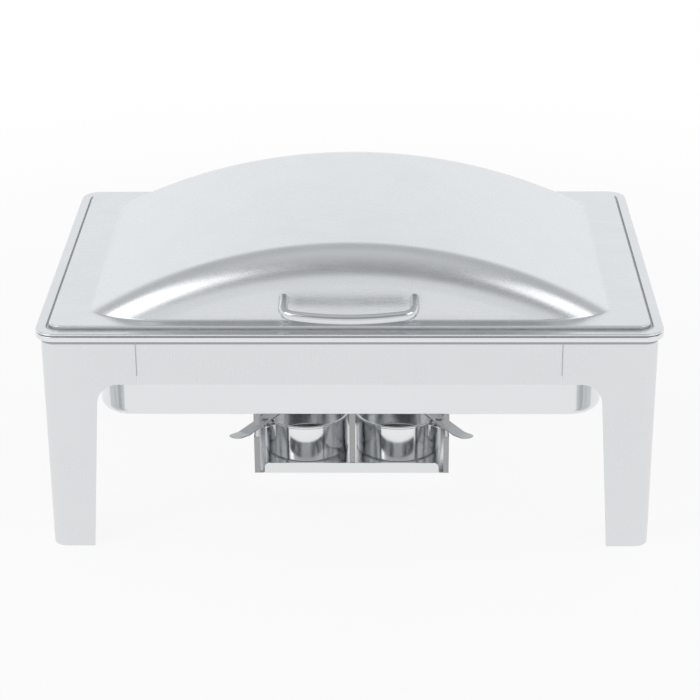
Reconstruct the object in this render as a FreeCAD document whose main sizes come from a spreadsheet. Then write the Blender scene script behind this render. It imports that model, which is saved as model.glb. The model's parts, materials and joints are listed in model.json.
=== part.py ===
import FreeCAD, Part
import math
import os
from types import SimpleNamespace

import Sketcher
from FreeCAD import Placement, Rotation, Vector

# Chafing dish: a stand on four formed legs, a water pan with a food pan in it,
# a domed lid hinged at the back, and a burner tray with two fuel cups and dampers.
# Millimetres, +Z up, front towards -Y, origin on the table under the middle of the dish.

SIZES = (
    # Rim of the water pan
    ("rim_side_margin", 50.0, "food pan to the rim's edge, left and right"),
    ("rim_front_margin", 44.5, "food pan to the rim's edge, front and back"),
    ("rim_radius", 20.0, "rim corner, seen from above"),
    ("rim_height", 6.5, "turned-down bead round the rim"),
    ("rim_bead", 4.0, "width of that bead"),
    ("seat_gap", 0.3, "play where the pan rests on the stand and the lid on the pan"),
    # Stand
    ("stand_height", 238.7, "table to the top edge of the aprons"),
    ("stand_inset", 5.0, "rim overhang past the stand"),
    ("stand_sheet", 1.2, "sheet of legs and aprons"),
    ("leg_plate", 96.0, "width of a leg's plate at the apron"),
    ("leg_top_width", 56.0, "leg width just under the apron"),
    ("leg_foot_width", 44.0, "leg width at the table"),
    ("knee_radius", 22.0, "hollow corner between apron and leg"),
    ("apron_height", 53.3, "height of the aprons"),
    ("hem_height", 8.0, "folded lower edge of an apron"),
    ("seam_width", 30.0, "backing plate behind a leg seam"),
    ("seam_sheet", 1.0, "sheet of the backing plates"),
    ("seam_clearance", 1.5, "backing plate to hem and to apron top"),
    # Water pan and food pan
    ("pan_sheet", 1.0, "sheet of the water pan"),
    ("well_overlap", 4.0, "food pan rim past the water pan's body"),
    ("well_height", 112.0, "rim top to the water pan's underside"),
    ("well_radius", 34.0, "water pan body corner, seen from above"),
    ("well_bottom_radius", 10.0, "water pan bottom edge"),
    ("food_sheet", 0.8, "sheet of the food pan"),
    ("food_rim_length", 530.0, "food pan rim, full size gastronorm"),
    ("food_rim_depth", 325.0, "food pan rim, full size gastronorm"),
    ("food_rim_radius", 42.0, "food pan rim corner"),
    ("food_base_inset", 16.5, "food pan rim to the edge of its floor"),
    ("food_base_radius", 36.0, "food pan floor corner, seen from above"),
    ("food_bottom_radius", 8.0, "food pan bottom edge"),
    ("food_height", 65.0, "food pan depth"),
    ("food_taper", 4.0, "slope of the food pan's walls, degrees"),
    # Lid
    ("lid_sheet", 1.0, "sheet of the lid"),
    ("lid_edge", 3.0, "lid top band above the seam"),
    ("lid_bead", 3.5, "width of the lid's turned edge"),
    ("lid_band", 12.0, "flat band round the raised panel"),
    ("panel_rise", 3.5, "step from the band up to the panel"),
    ("panel_radius", 12.0, "panel corner, seen from above"),
    ("dome_rise", 68.0, "dome above the panel"),
    ("dome_side_margin", 51.0, "rim edge to the vault's foot, left and right"),
    ("dome_margin", 26.5, "rim edge to the dome's end face, front and back"),
    ("face_angle", 80.0, "slope of the dome's end faces, degrees"),
    ("ridge_radius", 40.0, "rounding between dome and end faces"),
    # Lid handle
    ("rod_diameter", 10.0, "handle rod"),
    ("handle_span", 131.0, "between the handle's ends"),
    ("handle_height", 22.5, "handle ends above the panel"),
    ("handle_tilt", 7.4, "droop of the handle, degrees"),
    ("handle_bend", 14.0, "bend between leg and bow"),
    ("handle_reach", 40.9, "lid face to the middle of the bow"),
    ("bow_radius", 220.0, "bow of the handle"),
    ("screw_diameter", 5.0, "handle screw"),
    ("screw_grip", 14.0, "depth of the screw in the rod"),
    ("washer_diameter", 14.0, "tapered washer in the lid"),
    ("washer_height", 4.2, "rod end to the washer's flat side"),
    ("screw_head_diameter", 9.0, "handle screw head"),
    ("screw_head_height", 3.0, "handle screw head"),
    # Lid hinges
    ("hinge_inset", 150.0, "end of the rim to the middle of a hinge"),
    ("hinge_width", 50.0, "hinge leaf, left to right"),
    ("hinge_setback", 7.0, "hinge axis behind the rim"),
    ("barrel_width", 19.4, "barrel of the lid leaf"),
    ("hinge_pin_radius", 2.0, "hinge pin"),
    ("pin_play", 0.05, "radial play of the hinge pins and damper pivots"),
    ("leaf_sheet", 1.5, "sheet of the hinge leaves"),
    ("leaf_gap", 0.3, "side play between hinge barrels"),
    ("base_leaf_depth", 28.0, "pan leaf, front edge to the rim edge"),
    ("lid_leaf_depth", 22.0, "lid leaf, front edge to the rim edge"),
    ("base_rivet_spread", 17.0, "hinge middle to a rivet of the pan leaf"),
    ("lid_rivet_spread", 11.0, "hinge middle to a rivet of the lid leaf"),
    ("heel_length", 7.5, "heel below the axis with the lid open"),
    ("stop_angle", 95.0, "lid opening where the leaf's heel meets the rim, degrees"),
    # Burner tray
    ("strap_width", 22.0, "burner strap"),
    ("strap_sheet", 2.0, "burner strap"),
    ("strap_inset", 25.0, "edge of the tray to the middle of a strap"),
    ("strap_clearance", 3.0, "strap below the water pan"),
    ("strap_bend", 4.0, "inside bend of a strap"),
    ("tray_length", 212.0, "burner tray, left to right"),
    ("tray_depth", 140.0, "burner tray, front to back"),
    ("tray_foot_gap", 17.0, "table to the tray's underside"),
    ("tray_sheet", 1.2, "sheet of the tray"),
    ("tray_lip", 12.0, "height of the tray's lips"),
    ("tray_lip_inset", 11.0, "tray side to the end of a lip"),
    ("tray_lip_radius", 5.0, "rounded end of a lip"),
    ("tray_return", 6.0, "turned edge of a tray side"),
    ("tray_flange", 14.0, "top flange of a tray side"),
    ("slot_below", 2.0, "damper slot, lower edge below the damper"),
    ("slot_above", 11.3, "damper slot, upper edge above the damper"),
    ("slot_stop", 10.0, "solid strip behind the damper slot"),
    ("partition_return", 6.4, "turned front edge of the partition"),
    # Fuel cups and dampers
    ("cup_spacing", 102.0, "between the two fuel cups"),
    ("cup_radius", 46.6, "fuel cup body"),
    ("cup_sheet", 0.8, "sheet of the fuel cups"),
    ("cup_height", 42.8, "fuel cup"),
    ("cup_bead", 1.5, "rolled rim of a fuel cup, its radius"),
    ("cup_bottom_radius", 2.0, "fuel cup bottom edge"),
    ("pivot_radius", 54.0, "cup centre to damper pivot"),
    ("pivot_angle", 34.0, "direction of the pivot from the cup, degrees"),
    ("bracket_width", 14.0, "damper bracket"),
    ("bracket_height", 14.8, "damper bracket"),
    ("bracket_drop", 4.2, "cup rim to the bracket's top"),
    ("damper_sheet", 1.2, "sheet of damper and bracket"),
    ("damper_lift", 1.5, "damper above the cup rim"),
    ("damper_radius", 34.0, "damper disc"),
    ("lever_width", 14.5, "damper lever"),
    ("lever_reach", 42.0, "pivot to the lever's bend"),
    ("lever_tip", 23.0, "lever beyond the bend"),
    ("lever_rise", 12.0, "slope of the lever's tip, degrees"),
    ("lever_angle", 60.0, "lever direction at rest, degrees"),
    ("stud_shoulder", 3.0, "damper pivot shoulder radius"),
    ("stud_radius", 2.0, "damper pivot radius"),
    # Rivets
    ("rivet_radius", 1.6, "sheet rivets"),
    ("rivet_head", 3.0, "head radius of the sheet rivets"),
    ("rivet_rise", 1.0, "head height of the sheet rivets"),
)


class Size:
    """A number that keeps its spreadsheet formula, so that it can drive a property."""

    def __init__(self, value, text):
        self.value = value
        self.text = text

    def __float__(self):
        return float(self.value)

    def __add__(self, other):
        return Size(self.value + float(other), f"({self.text} + {formula(other)})")

    def __sub__(self, other):
        return Size(self.value - float(other), f"({self.text} - {formula(other)})")

    def __mul__(self, other):
        return Size(self.value * float(other), f"({self.text} * {formula(other)})")

    def __truediv__(self, other):
        return Size(self.value / float(other), f"({self.text} / {formula(other)})")

    def __neg__(self):
        return Size(-self.value, f"(0 - {self.text})")

    def __radd__(self, other):
        return self + other

    def __rmul__(self, other):
        return self * other

    def __rsub__(self, other):
        return -self + other


def formula(amount):
    return amount.text if isinstance(amount, Size) else repr(float(amount))


def root(amount):
    return Size(math.sqrt(amount.value), f"sqrt({amount.text})")


def sine(angle):
    return Size(math.sin(math.radians(angle.value)), f"sin({angle.text})")


def cosine(angle):
    return Size(math.cos(math.radians(angle.value)), f"cos({angle.text})")


def tangent(angle):
    return Size(math.tan(math.radians(angle.value)), f"tan({angle.text})")


def make_sheet(doc):
    """Writes the driving sizes to the spreadsheet and returns them by name."""
    sheet = doc.addObject("Spreadsheet::Sheet", "Sizes")
    named = {}
    for row, (alias, value, meaning) in enumerate(SIZES, start=1):
        sheet.set(f"A{row}", meaning)
        sheet.set(f"B{row}", str(value))
        sheet.setAlias(f"B{row}", alias)
        named[alias] = Size(value, f"Sizes.{alias}")
    doc.recompute()
    return SimpleNamespace(**named)


doc = FreeCAD.newDocument("ChafingDish")
size = make_sheet(doc)
nodes = []

X_AXIS = Vector(1, 0, 0)
Y_AXIS = Vector(0, 1, 0)
Z_AXIS = Vector(0, 0, 1)


def bind(item, prop, amount):
    item.setExpression(prop, formula(amount))


def place(item, x, y, z, turn=None):
    """Puts an object at a bound position, turned by a rotation."""
    if turn is not None:
        item.Placement = Placement(Vector(), turn)
    bind(item, ".Placement.Base.x", x)
    bind(item, ".Placement.Base.y", y)
    bind(item, ".Placement.Base.z", z)
    return item


def node(item, label):
    """Marks an object as a finished sub-part under its own name."""
    item.Label = label
    nodes.append(item)
    return item


def new_body(name):
    return doc.addObject("PartDesign::Body", name)


def box(body, name, low, high, cut=False, turn=None):
    """Adds or cuts a box between two corners of the body's frame."""
    kind = "PartDesign::SubtractiveBox" if cut else "PartDesign::AdditiveBox"
    item = body.newObject(kind, name)
    for prop, start, end in zip(("Length", "Width", "Height"), low, high):
        bind(item, prop, end - start)
    return place(item, *low, turn)


def cylinder(body, name, radius, start, length, cut=False, turn=None):
    """Adds or cuts a cylinder that runs up its own Z from a start point."""
    kind = "PartDesign::SubtractiveCylinder" if cut else "PartDesign::AdditiveCylinder"
    item = body.newObject(kind, name)
    bind(item, "Radius", radius)
    bind(item, "Height", length)
    return place(item, *start, turn)


def runs_along(edge, axis):
    """True for a straight edge along X, Y or Z."""
    spans = {"X": edge.BoundBox.XLength, "Y": edge.BoundBox.YLength, "Z": edge.BoundBox.ZLength}
    along = spans.pop(axis)
    return along > 0.1 and max(spans.values()) < 0.001


def near(value, target, tolerance=0.01):
    return abs(value - float(target)) < tolerance


def fillet(body, name, radius, wanted):
    """Rounds the edges of the body's last feature that pass a test."""
    doc.recompute()
    base = body.Tip
    names = [f"Edge{n}" for n, edge in enumerate(base.Shape.Edges, start=1) if wanted(edge)]
    if not names:
        raise ValueError(f"{body.Name}.{name} found no edge to round")
    item = body.newObject("PartDesign::Fillet", name)
    item.Base = (base, names)
    bind(item, "Radius", radius)
    return item


def plane_of(body, role):
    return next(part for part in body.Origin.OriginFeatures if part.Role == role)


def new_sketch(body, name, role, offset=0.0):
    sketch = body.newObject("Sketcher::SketchObject", name)
    sketch.AttachmentSupport = [(plane_of(body, role), "")]
    sketch.MapMode = "FlatFace"
    bind(sketch, ".AttachmentOffset.Base.z", offset)
    return sketch


def dimension(sketch, kind, label, amount, *where):
    """Adds a driving constraint and ties it to the spreadsheet."""
    number = sketch.addConstraint(Sketcher.Constraint(kind, *where, float(amount)))
    sketch.renameConstraint(number, label)
    bind(sketch, f"Constraints.{label}", amount)


def polygon(sketch, points):
    """Closed straight outline with both coordinates of each corner dimensioned."""
    count = len(points)
    for n, (start, end) in enumerate(zip(points, points[1:] + points[:1])):
        ends = [Vector(float(x), float(y), 0) for x, y in (start, end)]
        sketch.addGeometry(Part.LineSegment(*ends), False)
    for n in range(count):
        sketch.addConstraint(Sketcher.Constraint("Coincident", n, 2, (n + 1) % count, 1))
    for n, (x, y) in enumerate(points):
        dimension(sketch, "DistanceX", f"x{n}", x, -1, 1, n, 1)
        dimension(sketch, "DistanceY", f"y{n}", y, -1, 1, n, 1)


def rounded_rectangle(sketch, length, depth, radius):
    """Rectangle about the origin with four equal round corners."""
    x = length / 2 - radius
    y = depth / 2 - radius
    fx, fy, fr = float(x), float(y), float(radius)
    corners = ((fx, fy, 0), (-fx, fy, 90), (-fx, -fy, 180), (fx, -fy, 270))
    for cx, cy, start in corners:
        circle = Part.Circle(Vector(cx, cy, 0), Z_AXIS, fr)
        first, last = math.radians(start), math.radians(start + 90)
        sketch.addGeometry(Part.ArcOfCircle(circle, first, last), False)
    sides = (
        ((fx, fy + fr), (-fx, fy + fr)),
        ((-fx - fr, fy), (-fx - fr, -fy)),
        ((-fx, -fy - fr), (fx, -fy - fr)),
        ((fx + fr, -fy), (fx + fr, fy)),
    )
    for start, end in sides:
        sketch.addGeometry(Part.LineSegment(Vector(*start, 0), Vector(*end, 0)), False)
    for n in range(4):
        sketch.addConstraint(Sketcher.Constraint("Tangent", n, 2, n + 4, 1))
        sketch.addConstraint(Sketcher.Constraint("Tangent", n + 4, 2, (n + 1) % 4, 1))
    for n, kind in enumerate(("Horizontal", "Vertical", "Horizontal", "Vertical")):
        sketch.addConstraint(Sketcher.Constraint(kind, n + 4))
    dimension(sketch, "Radius", "corner", radius, 0)
    dimension(sketch, "DistanceX", "right", x, -1, 1, 0, 3)
    dimension(sketch, "DistanceY", "back", y, -1, 1, 0, 3)
    dimension(sketch, "DistanceX", "left", -x, -1, 1, 2, 3)
    dimension(sketch, "DistanceY", "front", -y, -1, 1, 2, 3)


def rounded_plate(body, name, outline, low, high, cut=False, taper=None):
    """Pads or pockets a rounded rectangle (length, depth, radius) between two heights."""
    start = high if cut else low
    sketch = new_sketch(body, f"{name}Outline", "XY_Plane", start)
    rounded_rectangle(sketch, *outline)
    item = body.newObject("PartDesign::Pocket" if cut else "PartDesign::Pad", name)
    item.Profile = sketch
    bind(item, "Length", high - low)
    if taper is not None:
        bind(item, "TaperAngle", taper)
    return item


def turned(degrees, axis=Z_AXIS):
    return Rotation(axis, float(degrees))


# Levels above the table and other places that several pieces share

rim_length = size.food_rim_length + size.rim_side_margin * 2
rim_depth = size.food_rim_depth + size.rim_front_margin * 2
well_length = size.food_rim_length - size.well_overlap * 2
well_depth = size.food_rim_depth - size.well_overlap * 2
food_base_length = size.food_rim_length - size.food_base_inset * 2
food_base_depth = size.food_rim_depth - size.food_base_inset * 2
dome_chord = rim_length - size.dome_side_margin * 2

apron_low = size.stand_height - size.apron_height
flange_low = size.stand_height + size.seat_gap
flange_top = flange_low + size.pan_sheet
lid_low = flange_top + size.seat_gap
band_top = flange_top + size.lid_edge
panel_top = band_top + size.panel_rise
dome_top = panel_top + size.dome_rise
well_low = flange_top - size.well_height
stand_x = rim_length / 2 - size.stand_inset
stand_y = rim_depth / 2 - size.stand_inset
stand_radius = size.rim_radius - size.stand_inset

strap_top = well_low - size.strap_clearance
strap_low = strap_top - size.strap_sheet
strap_x = stand_x - size.stand_sheet * 2
tray_floor = size.tray_foot_gap + size.tray_sheet
tray_x = size.tray_length / 2
tray_y = size.tray_depth / 2
cup_x = size.cup_spacing / 2
cup_top = tray_floor + size.cup_height
bracket_top = cup_top - size.bracket_drop
damper_low = cup_top + size.damper_lift

hinge_y = rim_depth / 2 + size.hinge_setback
barrel_radius = (panel_top + size.leaf_sheet - flange_top) / 2
hinge_z = flange_top + barrel_radius

# The four sides of the stand, as the turn that brings the front to each
SIDES = {"front": 0, "right": 90, "back": 180, "left": 270}


def side_place(item, side, height=0.0):
    """Moves an object drawn on the front face, at y = 0, to one side of the stand."""
    spots = {
        "front": (0.0, -stand_y),
        "right": (stand_x, 0.0),
        "back": (0.0, stand_y),
        "left": (-stand_x, 0.0),
    }
    return place(item, *spots[side], height, turned(SIDES[side]))


def half_seam(side):
    """Middle of a side to its leg seam."""
    half_side = stand_x if side in ("front", "back") else stand_y
    return half_side - size.leg_plate


def make_leg(side, label, x, y):
    """Sheet leg: an L in plan with a round corner, narrowed below the apron."""
    sheet = size.stand_sheet
    leg = new_body(f"Leg{side.title()}")
    box(leg, "PlateX", (0.0, 0.0, 0.0), (size.leg_plate, sheet, size.stand_height))
    box(leg, "PlateY", (0.0, 0.0, 0.0), (sheet, size.leg_plate, size.stand_height))

    def inner_corner(edge):
        spot = edge.BoundBox
        return runs_along(edge, "Z") and near(spot.XMin, sheet) and near(spot.YMin, sheet)

    def outer_corner(edge):
        spot = edge.BoundBox
        return runs_along(edge, "Z") and near(spot.XMin, 0) and near(spot.YMin, 0)

    fillet(leg, "InnerCorner", stand_radius - sheet, inner_corner)
    fillet(leg, "OuterCorner", stand_radius, outer_corner)

    below_apron = [
        (size.leg_foot_width, 0.0),
        (size.leg_plate, 0.0),
        (size.leg_plate, apron_low),
        (size.leg_top_width, apron_low),
    ]
    for name, role in (("TaperX", "XZ_Plane"), ("TaperY", "YZ_Plane")):
        sketch = new_sketch(leg, f"{name}Outline", role)
        polygon(sketch, below_apron)
        taper = leg.newObject("PartDesign::Pocket", name)
        taper.Profile = sketch
        taper.Type = "ThroughAll"
        taper.SideType = "Symmetric"

    def knee(edge):
        spot = edge.BoundBox
        across = runs_along(edge, "X") or runs_along(edge, "Y")
        widest = max(spot.XMax, spot.YMax)
        return across and near(spot.ZMin, apron_low) and near(widest, size.leg_top_width)

    fillet(leg, "Knees", size.knee_radius, knee)
    place(leg, x, y, 0.0, turned(SIDES[side]))
    return node(leg, label)


def make_apron(side):
    """Plate between two legs with a folded hem along its lower edge."""
    sheet = size.stand_sheet
    half = half_seam(side)
    apron = new_body(f"Apron{side.title()}")
    box(apron, "Plate", (-half, 0.0, apron_low), (half, sheet, size.stand_height))
    box(apron, "Hem", (-half, sheet, apron_low), (half, sheet * 2, apron_low + size.hem_height))

    def lower_edge(edge):
        spot = edge.BoundBox
        return runs_along(edge, "X") and near(spot.ZMin, apron_low) and not near(spot.YMin, sheet)

    fillet(apron, "HemRound", sheet * 0.9, lower_edge)
    if side in ("left", "right"):
        for n, row in enumerate(strap_rows()):
            hole = (row, 0.0, apron_low + size.hem_height / 2)
            through = turned(-90, X_AXIS)
            cylinder(apron, f"StrapHole{n}", size.rivet_radius, hole, sheet * 2, True, through)
    side_place(apron, side)
    return node(apron, f"apron_{side}")


def make_seam_plates():
    """Backing plates behind the eight seams between legs and aprons."""
    pieces = []
    low = apron_low + size.hem_height + size.seam_clearance
    high = size.stand_height - size.seam_clearance
    for side in SIDES:
        plates = new_body(f"SeamPlates{side.title()}")
        plates.AllowCompound = True
        for sign, name in ((-1, "Left"), (1, "Right")):
            middle = half_seam(side) * sign
            start = (middle - size.seam_width / 2, size.stand_sheet, low)
            end = (middle + size.seam_width / 2, size.stand_sheet + size.seam_sheet, high)
            box(plates, name, start, end)
        pieces.append(side_place(plates, side))
    return group(pieces, "seam_plates")


def group(pieces, label):
    """One sub-part made of separate identical solids."""
    item = doc.addObject("Part::Compound", label.title().replace("_", ""))
    item.Links = pieces
    return node(item, label)


def make_rivet(name, grip, radius=size.rivet_radius, head=size.rivet_head, rise=size.rivet_rise):
    """Rivet along Z: its shank runs from 0 to the grip, with a low head at each end."""
    rivet = new_body(name)
    cylinder(rivet, "Shank", radius, (0.0, 0.0, 0.0), grip)
    cylinder(rivet, "LowHead", head, (0.0, 0.0, -rise), rise)
    cylinder(rivet, "HighHead", head, (0.0, 0.0, grip), rise)

    def head_rim(edge):
        spot = edge.BoundBox
        wide = near(spot.XLength, head * 2)
        return wide and (near(spot.ZMin, -rise) or near(spot.ZMin, grip + rise))

    fillet(rivet, "HeadRound", rise * 0.7, head_rim)
    return rivet


def make_strap(label, y):
    """Strap under the water pan, turned up at both ends to the side aprons' hems."""
    sheet = size.strap_sheet
    high = apron_low + size.hem_height
    strap = new_body(label.title().replace("_", ""))
    half = size.strap_width / 2
    box(strap, "Span", (-strap_x, -half, strap_low), (strap_x, half, strap_top))
    box(strap, "LeftEnd", (-strap_x, -half, strap_low), (-strap_x + sheet, half, high))
    box(strap, "RightEnd", (strap_x - sheet, -half, strap_low), (strap_x, half, high))

    def inner_bend(edge):
        spot = edge.BoundBox
        return runs_along(edge, "Y") and near(spot.ZMin, strap_top)

    def outer_bend(edge):
        return runs_along(edge, "Y") and near(edge.BoundBox.ZMin, strap_low)

    fillet(strap, "InnerBend", size.strap_bend, inner_bend)
    fillet(strap, "OuterBend", size.strap_bend + sheet, outer_bend)
    for name, x in (("LeftHole", -strap_x), ("RightHole", strap_x - sheet)):
        middle = (x, 0.0, apron_low + size.hem_height / 2)
        cylinder(strap, name, size.rivet_radius, middle, sheet, True, turned(90, Y_AXIS))
    for n, x in enumerate(tray_rivet_spots()):
        hole = (x, 0.0, strap_low)
        cylinder(strap, f"TrayHole{n}", size.rivet_radius, hole, sheet, True)
    place(strap, 0.0, y, 0.0)
    return node(strap, label)


def tray_rivet_spots():
    """Left-to-right places of the rivets that hang the tray on each strap."""
    middle = size.tray_flange / 2
    return (-tray_x + middle, middle, tray_x - middle)


def strap_rows():
    row = tray_y - size.strap_inset
    return (-row, row)


def make_strap_rivets():
    """Rivets through the side aprons' hems and the ends of the straps."""
    pieces = []
    grip = size.stand_sheet * 2 + size.strap_sheet
    high = apron_low + size.hem_height / 2
    for side, x in (("Left", -stand_x), ("Right", stand_x - grip)):
        for row, y in zip(("Front", "Back"), strap_rows()):
            rivet = make_rivet(f"StrapRivet{side}{row}", grip)
            pieces.append(place(rivet, x, y, high, turned(90, Y_AXIS)))
    return group(pieces, "strap_rivets")


def make_tray():
    """Open tray of folded sheet, hung under the straps by its top flanges."""
    sheet = size.tray_sheet
    low = size.tray_foot_gap
    tray = new_body("BurnerTray")
    box(tray, "Floor", (-tray_x, -tray_y, low), (tray_x, tray_y, tray_floor))
    for name, sign in (("Left", -1), ("Right", 1)):
        outer = tray_x * sign

        def span(inset, thickness):
            """Two X places that step inwards from the tray's side."""
            ends = [outer - inset * sign, outer - (inset + thickness) * sign]
            return ends if sign < 0 else ends[::-1]

        none = 0.0
        wall = span(none, sheet)
        turned_edge = span(none, size.tray_return)
        flange = span(none, size.tray_flange)
        box(tray, f"{name}Wall", (wall[0], -tray_y, low), (wall[1], tray_y, strap_low))
        top = ((flange[0], -tray_y, strap_low - sheet), (flange[1], tray_y, strap_low))
        box(tray, f"{name}Flange", *top)
        for end, y in (("Front", -tray_y), ("Back", tray_y - sheet)):
            corners = ((turned_edge[0], y, low), (turned_edge[1], y + sheet, strap_low))
            box(tray, f"{name}{end}Return", *corners)
    lip_x = tray_x - size.tray_lip_inset
    for name, y in (("Front", -tray_y), ("Back", tray_y - sheet)):
        box(tray, f"{name}Lip", (-lip_x, y, low), (lip_x, y + sheet, low + size.tray_lip))

    def lip_end(edge):
        spot = edge.BoundBox
        at_end = near(abs(spot.XMin), lip_x)
        return runs_along(edge, "Y") and at_end and near(spot.ZMin, low + size.tray_lip)

    fillet(tray, "LipEnds", size.tray_lip_radius, lip_end)
    slot_back = tray_y - size.slot_stop
    slot_low = damper_low - size.slot_below
    slot_high = damper_low + size.damper_sheet + size.slot_above
    slot = ((-tray_x, -tray_y, slot_low), (tray_x, slot_back, slot_high))
    box(tray, "DamperSlots", *slot, cut=True)
    for n, x in enumerate(tray_rivet_spots()):
        for row, y in zip(("Front", "Back"), strap_rows()):
            hole = (x, y, strap_low - sheet)
            cylinder(tray, f"Hole{row}{n}", size.rivet_radius, hole, sheet, True)
    for name, x in (("LeftCupHole", -cup_x), ("RightCupHole", cup_x)):
        cylinder(tray, name, size.stud_radius, (x, 0.0, low), sheet, True)
    return node(tray, "burner_tray")


def make_partition():
    """Plate between the two fuel cups, with a turned front edge and a top flange."""
    sheet = size.tray_sheet
    front = -tray_y + sheet
    back = tray_y - sheet
    half = sheet / 2
    plate = new_body("TrayPartition")
    box(plate, "Plate", (-half, front, tray_floor), (half, back, strap_low))
    left = -half - (size.partition_return - sheet) / 3
    right = left + size.partition_return
    box(plate, "Return", (left, front, tray_floor), (right, front + sheet, strap_low))
    top = ((-half, front, strap_low - sheet), (size.tray_flange, back, strap_low))
    box(plate, "Flange", *top)
    for row, y in zip(("Front", "Back"), strap_rows()):
        hole = (tray_rivet_spots()[1], y, strap_low - sheet)
        cylinder(plate, f"Hole{row}", size.rivet_radius, hole, sheet, True)
    return node(plate, "tray_partition")


def make_tray_rivets():
    """Rivets that hang the tray and its partition on the straps."""
    pieces = []
    for n, x in enumerate(tray_rivet_spots()):
        for row, y in zip(("Front", "Back"), strap_rows()):
            rivet = make_rivet(f"TrayRivet{row}{n}", size.tray_sheet + size.strap_sheet)
            pieces.append(place(rivet, x, y, strap_low - size.tray_sheet))
    return group(pieces, "tray_rivets")


def make_cup(side, x):
    """Spun fuel cup with a rolled rim."""
    cup = new_body(f"FuelCup{side.title()}")
    cylinder(cup, "Outside", size.cup_radius, (0.0, 0.0, 0.0), size.cup_height - size.cup_bead)

    def bottom(edge):
        spot = edge.BoundBox
        return near(spot.ZMax, 0) and near(spot.XLength, size.cup_radius * 2)

    fillet(cup, "BottomRound", size.cup_bottom_radius, bottom)
    bead = cup.newObject("PartDesign::AdditiveTorus", "Rim")
    bind(bead, "Radius1", size.cup_radius - size.cup_bead / 5)
    bind(bead, "Radius2", size.cup_bead)
    place(bead, 0.0, 0.0, size.cup_height - size.cup_bead)
    inside = size.cup_radius - size.cup_sheet
    cylinder(cup, "Inside", inside, (0.0, 0.0, size.cup_sheet), size.cup_height, True)
    cylinder(cup, "RivetHole", size.stud_radius, (0.0, 0.0, 0.0), size.cup_sheet, True)
    place(cup, x, 0.0, tray_floor)
    return node(cup, f"fuel_cup_{side}")


def make_cup_rivets():
    """Rivets through the middle of each cup and the tray floor."""
    pieces = []
    grip = size.tray_sheet + size.cup_sheet
    for name, x in (("Left", -cup_x), ("Right", cup_x)):
        rivet = make_rivet(f"CupRivet{name}", grip, size.stud_radius, size.rivet_head * 1.5)
        pieces.append(place(rivet, x, 0.0, size.tray_foot_gap))
    return group(pieces, "cup_rivets")


def pivot_turn(side):
    """Turn that brings a bracket drawn along +X to its place on one cup."""
    return turned(-size.pivot_angle if side == "right" else size.pivot_angle - 180)


def make_bracket(side, x):
    """Angle on the cup's wall that carries the damper's pivot."""
    sheet = size.damper_sheet
    half = size.bracket_width / 2
    bracket = new_body(f"DamperBracket{side.title()}")
    low = bracket_top - size.bracket_height
    inner = size.cup_radius - sheet
    outer = size.cup_radius + sheet
    box(bracket, "Upright", (inner, -half, low), (outer, half, bracket_top))
    tab = ((inner, -half, bracket_top - sheet), (size.pivot_radius, half, bracket_top))
    box(bracket, "Tab", *tab)
    tab_end = (size.pivot_radius, 0.0, bracket_top - sheet)
    cylinder(bracket, "TabEnd", half, tab_end, sheet)
    axis_foot = (0.0, 0.0, low)
    cylinder(bracket, "CupWall", size.cup_radius, axis_foot, size.bracket_height, True)
    cylinder(bracket, "StudHole", size.stud_radius, tab_end, sheet, True)
    place(bracket, x, 0.0, 0.0, pivot_turn(side))
    return node(bracket, f"damper_bracket_{side}")


def pivot_spot(side, x):
    """Place of the damper's pivot axis."""
    reach = size.pivot_radius * cosine(size.pivot_angle)
    sign = 1 if side == "right" else -1
    return x + reach * sign, -size.pivot_radius * sine(size.pivot_angle)


def make_pivot(side, x):
    """Shouldered stud, riveted into the bracket's tab, on which the damper turns."""
    pivot = new_body(f"DamperPivot{side.title()}")
    head = size.rivet_head + size.stud_radius / 4
    under = bracket_top - size.damper_sheet
    play = size.leaf_gap
    seat = damper_low - play
    over = damper_low + size.damper_sheet + play
    rise = size.rivet_rise
    cylinder(pivot, "LowHead", head, (0.0, 0.0, under - rise), rise)
    cylinder(pivot, "Shank", size.stud_radius, (0.0, 0.0, under), over - under)
    cylinder(pivot, "Shoulder", size.stud_shoulder, (0.0, 0.0, bracket_top), seat - bracket_top)
    cylinder(pivot, "HighHead", head, (0.0, 0.0, over), rise)

    def head_rim(edge):
        spot = edge.BoundBox
        wide = near(spot.XLength, head * 2)
        return wide and (near(spot.ZMin, over + rise) or near(spot.ZMin, under - rise))

    fillet(pivot, "HeadRound", rise * 0.7, head_rim)
    place(pivot, *pivot_spot(side, x), 0.0)
    return node(pivot, f"damper_pivot_{side}")


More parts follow.
